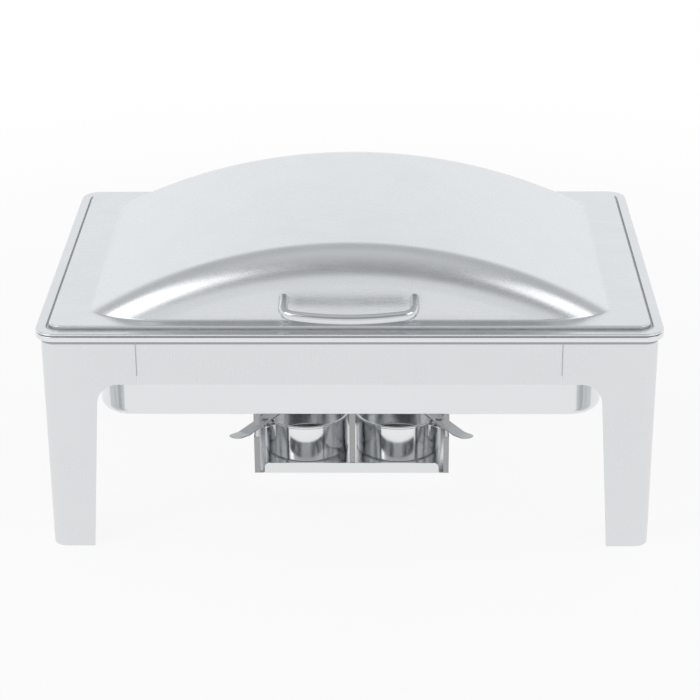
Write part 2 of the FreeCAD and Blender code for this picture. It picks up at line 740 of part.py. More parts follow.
def make_damper(side, x):
    """Disc that slides over the fuel cup, with a flat lever whose tip is bent up."""
    sheet = size.damper_sheet
    damper = new_body(f"Damper{side.title()}")
    outline = new_sketch(damper, "LeverOutline", "XZ_Plane")
    bend = size.lever_reach
    rise = size.lever_rise
    tip_x = bend + size.lever_tip * cosine(rise)
    tip_z = size.lever_tip * sine(rise)
    polygon(outline, [
        (-size.pivot_radius, 0.0),
        (bend, 0.0),
        (tip_x, tip_z),
        (tip_x - sheet * sine(rise), tip_z + sheet * cosine(rise)),
        (bend - sheet * tangent(rise / 2), sheet),
        (-size.pivot_radius, sheet),
    ])
    lever = damper.newObject("PartDesign::Pad", "Lever")
    lever.Profile = outline
    lever.SideType = "Symmetric"
    bind(lever, "Length", size.lever_width)

    def tip_corner(edge):
        spot = edge.BoundBox
        return spot.YLength < 0.001 and near(spot.XMax, tip_x) and spot.XLength < float(sheet)

    fillet(damper, "TipRound", size.lever_width * 0.45, tip_corner)
    disc_spot = (-size.pivot_radius, 0.0, 0.0)
    cylinder(damper, "Disc", size.damper_radius, disc_spot, sheet)
    cylinder(damper, "PivotHole", size.stud_radius + size.pin_play, (0.0, 0.0, 0.0), sheet, True)
    lever_turn = -size.lever_angle if side == "right" else size.lever_angle - 180
    place(damper, *pivot_spot(side, x), damper_low, turned(lever_turn))
    return node(damper, f"damper_{side}")


def flat_edge(edge):
    """True for an edge that lies level."""
    return edge.BoundBox.ZLength < 0.001


def level_edges(height):
    """Test for the level edges at one height."""
    return lambda edge: flat_edge(edge) and near(edge.BoundBox.ZMin, height)


def inset_outline(outline, amount):
    """The same rounded outline, moved inwards all round."""
    length, depth, radius = outline
    return length - amount * 2, depth - amount * 2, radius - amount


def hinge_spots():
    middle = rim_length / 2 - size.hinge_inset
    return (("left", -middle), ("right", middle))


def leaf_rivet_spots(leaf_depth, spread):
    """Names and places of the rivets through one kind of hinge leaf."""
    y = rim_depth / 2 - leaf_depth + size.rivet_head * 1.5
    spots = []
    for side, middle in hinge_spots():
        for n, offset in enumerate((-spread, spread)):
            spots.append((f"{side.title()}{n}", middle + offset, y))
    return spots


def base_rivet_spots():
    return leaf_rivet_spots(size.base_leaf_depth, size.base_rivet_spread)


def lid_rivet_spots():
    return leaf_rivet_spots(size.lid_leaf_depth, size.lid_rivet_spread)


def make_hollow(name, outline, low, high, rounding, taper=None):
    """Solid of a pan's hollow, with its bottom edge rounded."""
    hollow = new_body(name)
    rounded_plate(hollow, f"{name}Block", outline, low, high, taper=taper)
    fillet(hollow, f"{name}Round", rounding, level_edges(low))
    return hollow


def combine(body, name, other, kind):
    """Adds or cuts another body."""
    item = body.newObject("PartDesign::Boolean", name)
    item.setObjects([other])
    item.Type = kind
    return item


def make_water_pan():
    """Deep pan hung by a wide flange whose edge is turned down into a bead."""
    pan = new_body("WaterPan")
    bead_low = flange_top - size.rim_height
    whole = (rim_length, rim_depth, size.rim_radius)
    rounded_plate(pan, "Flange", whole, bead_low, flange_top)
    fillet(pan, "BeadRound", size.rim_height * 0.46, flat_edge)
    hollow = inset_outline(whole, size.rim_bead)
    rounded_plate(pan, "UnderFlange", hollow, bead_low, flange_low, cut=True)
    well = (well_length, well_depth, size.well_radius)
    rounded_plate(pan, "WellOutside", well, well_low, flange_top)
    fillet(pan, "WellOutsideRound", size.well_bottom_radius, level_edges(well_low))
    inside = inset_outline(well, size.pan_sheet)
    rounding = size.well_bottom_radius - size.pan_sheet
    hollow = make_hollow("WellHollow", inside, well_low + size.pan_sheet, flange_top, rounding)
    combine(pan, "WellInside", hollow, "Cut")
    for name, x, y in base_rivet_spots():
        hole = (x, y, flange_low)
        cylinder(pan, f"{name}Hole", size.rivet_radius, hole, size.pan_sheet, True)
    return node(pan, "water_pan")


def make_food_pan():
    """Full size gastronorm pan that hangs in the water pan's opening."""
    pan = new_body("FoodPan")
    rim_top = flange_top + size.food_sheet
    low = rim_top - size.food_height
    rim = (size.food_rim_length, size.food_rim_depth, size.food_rim_radius)
    floor = (food_base_length, food_base_depth, size.food_base_radius)
    rounded_plate(pan, "Outside", floor, low, rim_top, taper=size.food_taper)
    fillet(pan, "OutsideRound", size.food_bottom_radius, level_edges(low))
    rounded_plate(pan, "Rim", rim, flange_top, rim_top)
    inside = inset_outline(floor, size.food_sheet)
    rounding = size.food_bottom_radius - size.food_sheet
    inner_low = low + size.food_sheet
    hollow = make_hollow("FoodHollow", inside, inner_low, rim_top, rounding, size.food_taper)
    combine(pan, "Inside", hollow, "Cut")
    return node(pan, "food_pan")


def make_dome_form(name, skin, low):
    """Solid dome above a level: a shallow vault, steep ends, rounded ridges between them."""
    half_chord = dome_chord / 2
    vault = (half_chord * half_chord + size.dome_rise * size.dome_rise) / (size.dome_rise * 2)
    centre = dome_top - vault
    radius = vault - skin
    bottom = panel_top - size.ridge_radius
    drop = bottom - centre
    reach = root(radius * radius - drop * drop)
    form = new_body(name)
    sketch = new_sketch(form, "VaultOutline", "XZ_Plane")
    start = math.atan2(float(drop), float(reach))
    circle = Part.Circle(Vector(0, float(centre), 0), Z_AXIS, float(radius))
    sketch.addGeometry(Part.ArcOfCircle(circle, start, math.pi - start), False)
    corners = [Vector(float(x), float(bottom), 0) for x in (-reach, reach)]
    sketch.addGeometry(Part.LineSegment(*corners), False)
    sketch.addConstraint(Sketcher.Constraint("Coincident", 0, 2, 1, 1))
    sketch.addConstraint(Sketcher.Constraint("Coincident", 1, 2, 0, 1))
    dimension(sketch, "DistanceX", "left", -reach, -1, 1, 1, 1)
    dimension(sketch, "DistanceX", "right", reach, -1, 1, 1, 2)
    dimension(sketch, "DistanceY", "bottomLeft", bottom, -1, 1, 1, 1)
    dimension(sketch, "DistanceY", "bottomRight", bottom, -1, 1, 1, 2)
    dimension(sketch, "Radius", "vault", radius, 0)
    pad = form.newObject("PartDesign::Pad", "Vault")
    pad.Profile = sketch
    pad.SideType = "Symmetric"
    bind(pad, "Length", rim_depth * 2)

    lean = 90 - size.face_angle
    foot = rim_depth / 2 - size.dome_margin - skin / cosine(lean)
    low_y = foot + (panel_top - bottom) * tangent(lean)
    high_y = foot - size.dome_rise * 2 * tangent(lean)
    high = panel_top + size.dome_rise * 2
    for end, sign in (("Front", -1), ("Back", 1)):
        face = [
            (low_y * sign, bottom),
            (rim_depth * sign, bottom),
            (rim_depth * sign, high),
            (high_y * sign, high),
        ]
        side_cut(form, f"{end}End", face)

    def ridge(edge):
        spot = edge.BoundBox
        return spot.XLength > float(half_chord) and spot.ZMax > float(panel_top)

    fillet(form, "Ridges", size.ridge_radius - skin, ridge)
    under = (rim_length, rim_depth, bottom)
    box(form, "Below", (-under[0], -under[1], bottom), (under[0], under[1], low), cut=True)
    return form


def side_cut(body, name, points):
    """Cuts an outline of the side view right through in X."""
    sketch = new_sketch(body, f"{name}Outline", "YZ_Plane")
    polygon(sketch, points)
    item = body.newObject("PartDesign::Pocket", name)
    item.Profile = sketch
    item.Type = "ThroughAll"
    item.SideType = "Symmetric"
    return item


def side_pad(body, name, points, width):
    """Pads an outline of the side view equally to both sides."""
    sketch = new_sketch(body, f"{name}Outline", "YZ_Plane")
    polygon(sketch, points)
    item = body.newObject("PartDesign::Pad", name)
    item.Profile = sketch
    item.SideType = "Symmetric"
    bind(item, "Length", width)
    return item


def make_lid():
    """Lid of one sheet: turned edge, flat band, raised panel and dome."""
    lid = new_body("LidShell")
    sheet = size.lid_sheet
    whole = (rim_length, rim_depth, size.rim_radius)
    rounded_plate(lid, "Band", whole, lid_low, band_top)
    fillet(lid, "BandRound", size.lid_edge * 0.6, level_edges(band_top))
    hollow = inset_outline(whole, size.lid_bead)
    rounded_plate(lid, "UnderBand", hollow, lid_low, band_top - sheet, cut=True)
    length, depth, _ = inset_outline(whole, size.lid_band)
    panel = (length, depth, size.panel_radius)
    rounded_plate(lid, "Panel", panel, band_top - sheet, panel_top)
    fillet(lid, "PanelRound", sheet * 1.5, level_edges(panel_top))
    under = inset_outline(panel, sheet)
    rounded_plate(lid, "UnderPanel", under, band_top - sheet, panel_top - sheet, cut=True)
    combine(lid, "AddDome", make_dome_form("DomeOutside", size.lid_sheet * 0, panel_top - sheet), "Fuse")
    combine(lid, "HollowDome", make_dome_form("DomeInside", sheet, panel_top - sheet * 2), "Cut")
    notch = size.hinge_width / 2 + size.leaf_gap * 2
    notch_top = flange_top + size.leaf_sheet + size.seat_gap
    for side, x in hinge_spots():
        start = (x - notch, rim_depth / 2 - size.lid_bead, lid_low)
        box(lid, f"{side}Notch", start, (x + notch, rim_depth / 2, notch_top), cut=True)
    for name, x, y in lid_rivet_spots():
        hole = (x, y, panel_top - sheet)
        cylinder(lid, f"{name}Hole", size.rivet_radius, hole, sheet, True)
    for name, x in handle_ends():
        hole = (x, handle_y + sheet * 4, handle_z + sheet * 4 * tangent(size.handle_tilt))
        turn = turned(90 + float(size.handle_tilt), X_AXIS)
        cylinder(lid, f"{name}ScrewHole", size.screw_diameter / 2, hole, sheet * 8, True, turn)
    return node(lid, "lid_shell")


# Where the handle's centre line meets the dome's front face

face_lean = 90 - size.face_angle
dome_end_y = rim_depth / 2 - size.dome_margin
handle_y = -(dome_end_y - size.handle_height * tangent(face_lean))
handle_z = panel_top + size.handle_height
handle_x = size.handle_span / 2


def handle_ends():
    return (("Left", -handle_x), ("Right", handle_x))


def handle_place(item, x=0.0):
    """Moves an object drawn along -Y from the face to the handle's drooping line."""
    return place(item, x, handle_y, handle_z, turned(size.handle_tilt, X_AXIS))


def face_line(y, reach):
    """Two points of the lid's face in the handle's side view, set back by y."""
    slope = tangent(face_lean + size.handle_tilt)
    return (y + slope * reach, reach), (y - slope * reach, -reach)


def make_handle():
    """Bent rod that bows forward, with ends cut flush to the lid and tapped for screws."""
    handle = new_body("LidHandle")
    rod = size.rod_diameter / 2
    bow = size.bow_radius
    bend = size.handle_bend
    bow_y = bow - size.handle_reach
    across = handle_x - bend
    along = bow - bend
    bend_y = bow_y - root(along * along - across * across)
    start_y = rod

    path = handle.newObject("Sketcher::SketchObject", "Path")
    path.AttachmentSupport = [(plane_of(handle, "XY_Plane"), "")]
    path.MapMode = "FlatFace"
    x, b, r, s = (float(amount) for amount in (handle_x, bend_y, bend, start_y))
    lean = math.atan2(float(across), math.sqrt(float(along) ** 2 - float(across) ** 2))
    path.addGeometry(Part.LineSegment(Vector(-x, s, 0), Vector(-x, b, 0)), False)
    left = Part.Circle(Vector(-x + r, b, 0), Z_AXIS, r)
    path.addGeometry(Part.ArcOfCircle(left, math.pi, math.pi * 1.5 - lean), False)
    middle = Part.Circle(Vector(0, float(bow_y), 0), Z_AXIS, float(bow))
    path.addGeometry(Part.ArcOfCircle(middle, math.pi * 1.5 - lean, math.pi * 1.5 + lean), False)
    right = Part.Circle(Vector(x - r, b, 0), Z_AXIS, r)
    path.addGeometry(Part.ArcOfCircle(right, math.pi * 1.5 + lean, math.pi * 2), False)
    path.addGeometry(Part.LineSegment(Vector(x, b, 0), Vector(x, s, 0)), False)
    for n in range(4):
        path.addConstraint(Sketcher.Constraint("Tangent", n, 2, n + 1, 1))
    for n in (0, 4):
        path.addConstraint(Sketcher.Constraint("Vertical", n))
    dimension(path, "Radius", "leftBend", bend, 1)
    dimension(path, "Radius", "bow", bow, 2)
    dimension(path, "Radius", "rightBend", bend, 3)
    dimension(path, "DistanceX", "leftX", -handle_x, -1, 1, 0, 1)
    dimension(path, "DistanceX", "rightX", handle_x, -1, 1, 4, 2)
    dimension(path, "DistanceY", "leftY", start_y, -1, 1, 0, 1)
    dimension(path, "DistanceY", "rightY", start_y, -1, 1, 4, 2)
    dimension(path, "DistanceY", "bowY", bow_y, -1, 1, 2, 3)

    profile = new_sketch(handle, "Rod", "XZ_Plane", -start_y)
    profile.addGeometry(Part.Circle(Vector(-x, 0, 0), Z_AXIS, float(rod)), False)
    dimension(profile, "Radius", "rod", rod, 0)
    dimension(profile, "DistanceX", "middle", -handle_x, -1, 1, 0, 3)
    profile.addConstraint(Sketcher.Constraint("PointOnObject", 0, 3, -1))
    pipe = handle.newObject("PartDesign::AdditivePipe", "Bow")
    pipe.Profile = profile
    pipe.Spine = (path, ["Edge1", "Edge2", "Edge3", "Edge4", "Edge5"])
    high, low = face_line(0.0, size.rod_diameter)
    behind = (size.rod_diameter * 2, low[1])
    side_cut(handle, "FlushEnds", [high, low, behind, (behind[0], high[1])])
    for name, x in handle_ends():
        hole = (x, rod, 0.0)
        length = rod + size.screw_grip
        cylinder(handle, f"{name}Thread", size.screw_diameter / 2, hole, length, True, turned(90, X_AXIS))
    handle_place(handle)
    return node(handle, "lid_handle")


def make_handle_screws():
    """Pan-head screws from inside the lid into the handle's ends."""
    pieces = []
    for name, x in handle_ends():
        screw = new_body(f"HandleScrew{name}")
        back = turned(90, X_AXIS)
        shank = size.washer_height + size.screw_grip
        cylinder(screw, "Shank", size.screw_diameter / 2, (0.0, size.washer_height, 0.0), shank, turn=back)
        head_y = size.washer_height + size.screw_head_height
        head = size.screw_head_diameter / 2
        cylinder(screw, "Head", head, (0.0, head_y, 0.0), size.screw_head_height, turn=back)

        def head_rim(edge):
            spot = edge.BoundBox
            return spot.YLength < 0.001 and near(spot.YMax, head_y) and spot.XLength > float(head)

        fillet(screw, "HeadRound", size.screw_head_height * 0.5, head_rim)
        pieces.append(handle_place(screw, x))
    return group(pieces, "handle_screws")


def make_handle_washers():
    """Tapered washers that square the screw heads to the lid's sloping face."""
    pieces = []
    half = size.washer_diameter / 2
    behind_sheet = size.lid_sheet / cosine(face_lean + size.handle_tilt)
    for name, x in handle_ends():
        washer = new_body(f"HandleWasher{name}")
        back = turned(90, X_AXIS)
        start = (0.0, size.washer_height, 0.0)
        cylinder(washer, "Outside", half, start, size.washer_height * 2, turn=back)
        cylinder(washer, "Bore", size.screw_diameter / 2, start, size.washer_height * 2, True, back)
        high, low = face_line(behind_sheet, size.washer_diameter)
        ahead = -size.washer_diameter * 2
        side_cut(washer, "Taper", [high, (ahead, high[1]), (ahead, low[1]), low])
        pieces.append(handle_place(washer, x))
    return group(pieces, "handle_washers")


def corner_edges(half, y):
    """Test for the upright edges at both corners of a hinge leaf's free edge."""
    def wanted(edge):
        spot = edge.BoundBox
        return runs_along(edge, "Z") and near(abs(spot.XMin), half) and near(spot.YMin, y)

    return wanted


def make_hinge_base(side, x):
    """Leaf on the water pan's flange with two outer barrels."""
    leaf = new_body(f"HingeBase{side.title()}")
    radius = barrel_radius
    half = size.hinge_width / 2
    inner = size.barrel_width / 2 + size.leaf_gap
    front = -size.hinge_setback - size.base_leaf_depth
    rear = -size.hinge_setback - 1
    sheet_top = -radius + size.leaf_sheet
    box(leaf, "Leaf", (-half, front, -radius), (half, rear, sheet_top))
    fillet(leaf, "Corners", size.rivet_head, corner_edges(half, front))
    for name, low, high in (("Left", -half, -inner), ("Right", inner, half)):
        box(leaf, f"{name}Tongue", (low, rear, -radius), (high, 0.0, sheet_top))
        barrel = turned(90, Y_AXIS)
        cylinder(leaf, f"{name}Barrel", radius, (low, 0.0, 0.0), high - low, turn=barrel)
        bore = (low, 0.0, 0.0)
        cylinder(leaf, f"{name}Bore", size.hinge_pin_radius, bore, high - low, True, barrel)
    for name, offset in (("Left", -size.base_rivet_spread), ("Right", size.base_rivet_spread)):
        hole = (offset, front + size.rivet_head * 1.5, -radius)
        cylinder(leaf, f"{name}Hole", size.rivet_radius, hole, size.leaf_sheet, True)
    place(leaf, x, hinge_y, hinge_z)
    return node(leaf, f"hinge_base_{side}")


def swing(y, z):
    """A point of the open pose's side view, turned back to the closed lid."""
    c = cosine(size.stop_angle)
    s = sine(size.stop_angle)
    return y * c - z * s, y * s + z * c


def make_hinge_leaf(side, x):
    """Leaf on the lid's panel with the middle barrel and a heel that stops the lid."""
    leaf = new_body(f"HingeLeaf{side.title()}")
    radius = barrel_radius
    half = size.hinge_width / 2
    half_barrel = size.barrel_width / 2
    front = -size.hinge_setback - size.lid_leaf_depth
    low = radius - size.leaf_sheet
    box(leaf, "Leaf", (-half, front, low), (half, -size.hinge_setback, radius))
    fillet(leaf, "Corners", size.rivet_head, corner_edges(half, front))
    box(leaf, "Tongue", (-half_barrel, -size.hinge_setback, low), (half_barrel, 0.0, radius))
    barrel = turned(90, Y_AXIS)
    start = (-half_barrel, 0.0, 0.0)
    cylinder(leaf, "Barrel", radius, start, size.barrel_width, turn=barrel)
    ahead = -size.hinge_setback + size.leaf_gap
    behind = -size.hinge_pin_radius - 0.5
    heel = [(ahead, -size.heel_length), (behind, -size.heel_length), (behind, 0.0), (ahead, 0.0)]
    side_pad(leaf, "Heel", [swing(*point) for point in heel], size.barrel_width)
    bore = size.hinge_pin_radius + size.pin_play
    cylinder(leaf, "Bore", bore, start, size.barrel_width, True, barrel)
    for name, offset in (("Left", -size.lid_rivet_spread), ("Right", size.lid_rivet_spread)):
        hole = (offset, front + size.rivet_head * 1.5, low)
        cylinder(leaf, f"{name}Hole", size.rivet_radius, hole, size.leaf_sheet, True)
    place(leaf, x, hinge_y, hinge_z)
    return node(leaf, f"hinge_leaf_{side}")


def make_hinge_pin(side, x):
    """Pin with a low head at both ends."""
    pin = new_body(f"HingePin{side.title()}")
    half = size.hinge_width / 2
    head = size.hinge_pin_radius * 1.6
    rise = size.rivet_rise
    along = turned(90, Y_AXIS)
    cylinder(pin, "Shank", size.hinge_pin_radius, (-half, 0.0, 0.0), half * 2, turn=along)
    cylinder(pin, "LeftHead", head, (-half - rise, 0.0, 0.0), rise, turn=along)
    cylinder(pin, "RightHead", head, (half, 0.0, 0.0), rise, turn=along)

    def head_rim(edge):
        spot = edge.BoundBox
        outer = near(abs(spot.XMin), half + rise) and near(spot.YLength, head * 2)
        return spot.XLength < 0.001 and outer

    fillet(pin, "HeadRound", rise * 0.7, head_rim)
    place(pin, x, hinge_y, hinge_z)
    return node(pin, f"hinge_pin_{side}")


def make_leaf_rivets(label, spots, low, grip):
    """Rivets through a hinge leaf and the sheet under it."""
    pieces = []
    for name, x, y in spots:
        rivet = make_rivet(f"{label.title().replace('_', '')}{name}", grip)
        pieces.append(place(rivet, x, y, low))
    return group(pieces, label)


def make_stand():
    corners = (
        ("front", "leg_front_left", -1, -1),
        ("right", "leg_front_right", 1, -1),
        ("back", "leg_back_right", 1, 1),
        ("left", "leg_back_left", -1, 1),
    )
    for side, label, sign_x, sign_y in corners:
        make_leg(side, label, stand_x * sign_x, stand_y * sign_y)
    for side in SIDES:
        make_apron(side)
    make_seam_plates()
    make_strap("burner_strap_front", strap_rows()[0])
    make_strap("burner_strap_back", strap_rows()[1])
    make_strap_rivets()


def make_burners():
    make_tray()
    make_partition()
    make_tray_rivets()
    for side, x in (("left", -cup_x), ("right", cup_x)):
        make_cup(side, x)
        make_bracket(side, x)
        make_damper(side, x)
        make_pivot(side, x)
    make_cup_rivets()


def make_top():
    make_water_pan()
    make_food_pan()
    make_lid()
    make_handle()
    make_handle_screws()
    make_handle_washers()
    for side, x in hinge_spots():
        make_hinge_base(side, x)
        make_hinge_leaf(side, x)
        make_hinge_pin(side, x)
    pan_grip = size.pan_sheet + size.leaf_sheet
    make_leaf_rivets("hinge_base_rivets", base_rivet_spots(), flange_low, pan_grip)
    lid_grip = size.lid_sheet + size.leaf_sheet
    lid_sheet_low = panel_top - size.lid_sheet
    make_leaf_rivets("hinge_leaf_rivets", lid_rivet_spots(), lid_sheet_low, lid_grip)


def export():
    """Checks every object and writes one STEP file for each sub-part."""
    doc.recompute()
    for item in doc.Objects:
        if "Invalid" in item.State or "Error" in item.State:
            raise ValueError(f"{item.Name} did not compute: {item.State}")
    os.makedirs("parts", exist_ok=True)
    for item in nodes:
        shape = item.Shape
        if shape.isNull() or not shape.isValid():
            raise ValueError(f"{item.Label} has no valid shape")
        shape.exportStep(f"parts/{item.Label}.step")
        box = shape.optimalBoundingBox(False)
        spans = [f"{low:8.2f} {high:8.2f}" for low, high in (
            (box.XMin, box.XMax), (box.YMin, box.YMax), (box.ZMin, box.ZMax))]
        print(f"{item.Label:24} solids {len(shape.Solids)}  x {spans[0]}  y {spans[1]}  z {spans[2]}")


make_stand()
make_burners()
make_top()
export()
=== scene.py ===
"""Chafing dish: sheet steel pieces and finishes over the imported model, laid out as an add-on."""

import json
from math import atan2, cos, hypot, pi, radians, sin, sqrt, tan

import bmesh
import bpy
from bmesh.types import BMEdge, BMVert
from bpy.props import FloatProperty, FloatVectorProperty, PointerProperty
from mathutils import Matrix, Vector

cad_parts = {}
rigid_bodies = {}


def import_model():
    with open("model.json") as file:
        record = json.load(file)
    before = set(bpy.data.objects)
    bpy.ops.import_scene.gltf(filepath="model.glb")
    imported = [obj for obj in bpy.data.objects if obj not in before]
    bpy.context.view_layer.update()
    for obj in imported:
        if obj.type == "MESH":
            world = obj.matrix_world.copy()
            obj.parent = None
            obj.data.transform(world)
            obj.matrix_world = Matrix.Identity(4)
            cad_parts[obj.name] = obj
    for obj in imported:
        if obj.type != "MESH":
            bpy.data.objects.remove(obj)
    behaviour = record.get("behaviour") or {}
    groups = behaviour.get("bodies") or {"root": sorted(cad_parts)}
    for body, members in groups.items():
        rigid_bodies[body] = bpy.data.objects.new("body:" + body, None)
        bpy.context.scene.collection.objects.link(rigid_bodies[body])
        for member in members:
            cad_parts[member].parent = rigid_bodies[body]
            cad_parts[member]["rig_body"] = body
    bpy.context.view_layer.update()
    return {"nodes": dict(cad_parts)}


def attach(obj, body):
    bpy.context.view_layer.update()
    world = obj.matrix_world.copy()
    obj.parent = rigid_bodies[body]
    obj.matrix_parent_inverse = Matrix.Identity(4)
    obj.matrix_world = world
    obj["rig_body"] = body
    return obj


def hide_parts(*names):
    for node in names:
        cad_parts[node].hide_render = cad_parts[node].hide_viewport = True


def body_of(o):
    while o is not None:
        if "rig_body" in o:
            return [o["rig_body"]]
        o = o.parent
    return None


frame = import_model()

bl_info = {
    "name": "Chafing Dish",
    "version": (1, 0, 0),
    "blender": (4, 5, 0),
    "location": "3D View > Sidebar > Dish",
    "description": "Models the sheet steel pieces of a chafing dish over its packed frame",
    "category": "Object",
}

MM = 0.001
TINY = 1e-6
UP = Vector((0, 0, 1))
SIDES = {"front": 0, "right": 90, "back": 180, "left": 270}
CORNERS = {"front_left": 0, "front_right": 90, "back_right": 180, "back_left": 270}
# steps round a corner and round the bend above a pan's floor
CORNER_STEPS = 12
FLOOR_STEPS = 6
# a merged copy joins faces that meet flatter than this
FLAT_BELOW = radians(0.5)
# faces that meet flatter than this shade as one
SMOOTH_BELOW = radians(32)
# edges sharper than this are softened
SOFTEN_ABOVE = radians(40)
# a noise stays mostly between these values
NOISE_LOW = 0.3
NOISE_HIGH = 0.7


# Sizes and colours

def distance(name, millimetres, description):
    """A length property whose default is given in millimetres."""
    return FloatProperty(
        name=name,
        description=description,
        default=millimetres * MM,
        unit="LENGTH",
        subtype="DISTANCE",
    )


def angle(name, degrees, description):
    """An angle property whose default is given in degrees."""
    return FloatProperty(
        name=name,
        description=description,
        default=radians(degrees),
        unit="ROTATION",
        subtype="ANGLE",
    )


def linear(code):
    """A hex sRGB colour as linear red, green and blue."""
    channels = [int(code[n : n + 2], 16) / 255 for n in (1, 3, 5)]
    return [c / 12.92 if c <= 0.04045 else ((c + 0.055) / 1.055) ** 2.4 for c in channels]


def colour(name, code, description):
    """A colour property whose default is given as a hex sRGB colour."""
    return FloatVectorProperty(
        name=name,
        description=description,
        default=linear(code),
        size=3,
        min=0.0,
        max=1.0,
        subtype="COLOR",
    )


class StandSizes(bpy.types.PropertyGroup):
    """Legs and aprons"""

    length: distance("Length", 620, "Stand, left to right")
    depth: distance("Depth", 404, "Stand, front to back")
    height: distance("Height", 238.7, "Table to the top edge of the aprons")
    sheet: distance("Sheet", 1.2, "Thickness of legs and aprons")
    corner: distance("Corner", 15, "Outer bend of a leg")
    leg_plate: distance("Leg plate", 96, "Width of a leg beside the apron")
    leg_top: distance("Leg top", 56, "Width of a leg just under the apron")
    leg_foot: distance("Leg foot", 44, "Width of a leg at the table")
    knee: distance("Knee", 22, "Hollow corner between apron and leg")
    apron_low: distance("Apron edge", 185.4, "Table to the lower edge of the aprons")
    hem: distance("Hem", 8, "Height of the folded lower edge of an apron")
    seam: distance("Seam", 0.35, "Softened sheet edge at a seam")
    gap: distance("Seam gap", 1.1, "Between an apron and a leg")


class PanSizes(bpy.types.PropertyGroup):
    """Water pan and food pan"""

    rim_length: distance("Rim length", 630, "Rim, left to right")
    rim_depth: distance("Rim depth", 414, "Rim, front to back")
    rim_corner: distance("Rim corner", 20, "Rim corner, seen from above")
    bead_low: distance("Bead underside", 234.3, "Table to the underside of the turned rim")
    bead: distance("Bead", 4, "Width of the turned rim")
    bead_round: distance("Bead rounding", 1.2, "Rounding of the turned rim")
    top: distance("Top", 240, "Table to the top of the rim")
    sheet: distance("Sheet", 1, "Thickness of the water pan")
    well_length: distance("Well length", 520, "Water pan inside, left to right")
    well_depth: distance("Well depth", 315, "Water pan inside, front to back")
    well_corner: distance("Well corner", 33, "Water pan corner inside, seen from above")
    well_low: distance("Well floor", 129, "Table to the floor of the water pan")
    well_round: distance("Well rounding", 9, "Bend between wall and floor of the water pan")
    food_length: distance("Food pan rim length", 530, "Food pan rim, left to right")
    food_depth: distance("Food pan rim depth", 325, "Food pan rim, front to back")
    food_corner: distance("Food pan rim corner", 42, "Food pan rim corner, seen from above")
    food_sheet: distance("Food pan sheet", 0.8, "Thickness of the food pan")
    food_inset: distance("Food pan floor inset", 16.5, "Food pan rim to the edge of its floor")
    food_base: distance("Food pan floor corner", 36, "Food pan floor corner, seen from above")
    food_height: distance("Food pan depth", 65, "Food pan rim to its underside")
    food_round: distance("Food pan rounding", 8, "Bend between wall and floor of the food pan")
    food_taper: angle("Food pan taper", 4, "Slope of the food pan's walls")


class LidSizes(bpy.types.PropertyGroup):
    """Lid shell"""

    low: distance("Underside", 240.8, "Table to the lid's lowest edge")
    band_top: distance("Band", 243, "Table to the flat band round the lid")
    panel_top: distance("Panel", 246.5, "Table to the raised panel")
    sheet: distance("Sheet", 1, "Thickness of the lid")
    bead: distance("Turned edge", 3.5, "Width of the turned edge")
    band: distance("Band width", 13.2, "Rim edge to the step up to the panel")
    groove: distance("Groove", 1.5, "Radius of the groove at the foot of the step")
    panel_corner: distance("Panel corner", 12, "Panel corner, seen from above")
    chord: distance("Vault width", 528, "Width of the vault at the panel")
    rise: distance("Dome", 68, "Panel to the top of the dome")
    end_foot: distance("End foot", 180.5, "Middle of the lid to the foot of an end face")
    end_slope: angle("End slope", 80, "Slope of the end faces")
    ridge: distance("Ridge", 40, "Rounding between the vault and the end faces")
    foot: distance("Foot", 3, "Hollow rounding between dome and panel")
    notch: distance("Notch", 51.2, "Width of the hinge notches in the turned edge")
    notch_top: distance("Notch top", 241.8, "Table to the top of the hinge notches")
    hinge: distance("Hinge", 165, "Middle of the lid to a hinge")


class HandleSizes(bpy.types.PropertyGroup):
    """Bowed rod handle"""

    rod: distance("Rod", 10, "Diameter of the rod")
    span: distance("Span", 131, "Between the two ends of the rod")
    root_y: distance("Root", -176.53, "Place of the rod's ends, front to back")
    root_z: distance("Root height", 269, "Table to the rod's ends")
    reach: distance("Reach", 40.9, "Face of the lid to the middle of the bow")
    bend: distance("Bend", 14, "Bend between leg and bow")
    bow: distance("Bow", 220, "Radius of the bow")
    tilt: angle("Tilt", 7.4, "Droop of the handle")
    end_edge: distance("End edge", 0.4, "Softened edges of the rod's ends")


class BurnerSizes(bpy.types.PropertyGroup):
    """Fuel cups"""

    cup_x: distance("Cup place", 51, "Middle of the dish to a cup")
    cup_radius: distance("Cup radius", 46.6, "Outside of a cup's wall")
    cup_low: distance("Cup underside", 18.2, "Table to the underside of a cup")
    cup_top: distance("Cup top", 61, "Table to the top of a cup's rim")
    cup_sheet: distance("Cup sheet", 0.8, "Thickness of a cup")
    cup_round: distance("Cup rounding", 2, "Bottom edge of a cup")
    cup_bead: distance("Cup rim", 1.5, "Radius of a cup's rolled rim")
    edge: distance("Edge", 0.3, "Softened edges of cut sheet")


class Finishes(bpy.types.PropertyGroup):
    """Colours of the steel finishes and of the studio"""

    polished: colour("Polished steel", "#E6E8EA", "Lid and pans")
    satin: colour("Satin steel", "#E0E2E4", "Legs and aprons")
    annealed: colour("Bright annealed steel", "#E6E7E8", "Burner tray and straps")
    spun: colour("Spun steel", "#EEEFF0", "Fuel cups")
    damper: colour("Turned damper steel", "#C0C2C4", "Dampers and their levers")
    rod: colour("Bright rod", "#E0E2E4", "Handle and hinges")
    fastener: colour("Fasteners", "#C6C8CA", "Rivets, screws and studs")
    # a painted shade, for the lid's groove and the plates behind the stand's seams
    crease: colour("Crease", "#D5D7D9", "Pressed groove round the lid's panel")
    floor: colour("Floor", "#F4F4F4", "Studio floor")


# Shaping

def only(kind, items):
    """The items of one kind, vertices or edges."""
    return [item for item in items if isinstance(item, kind)]


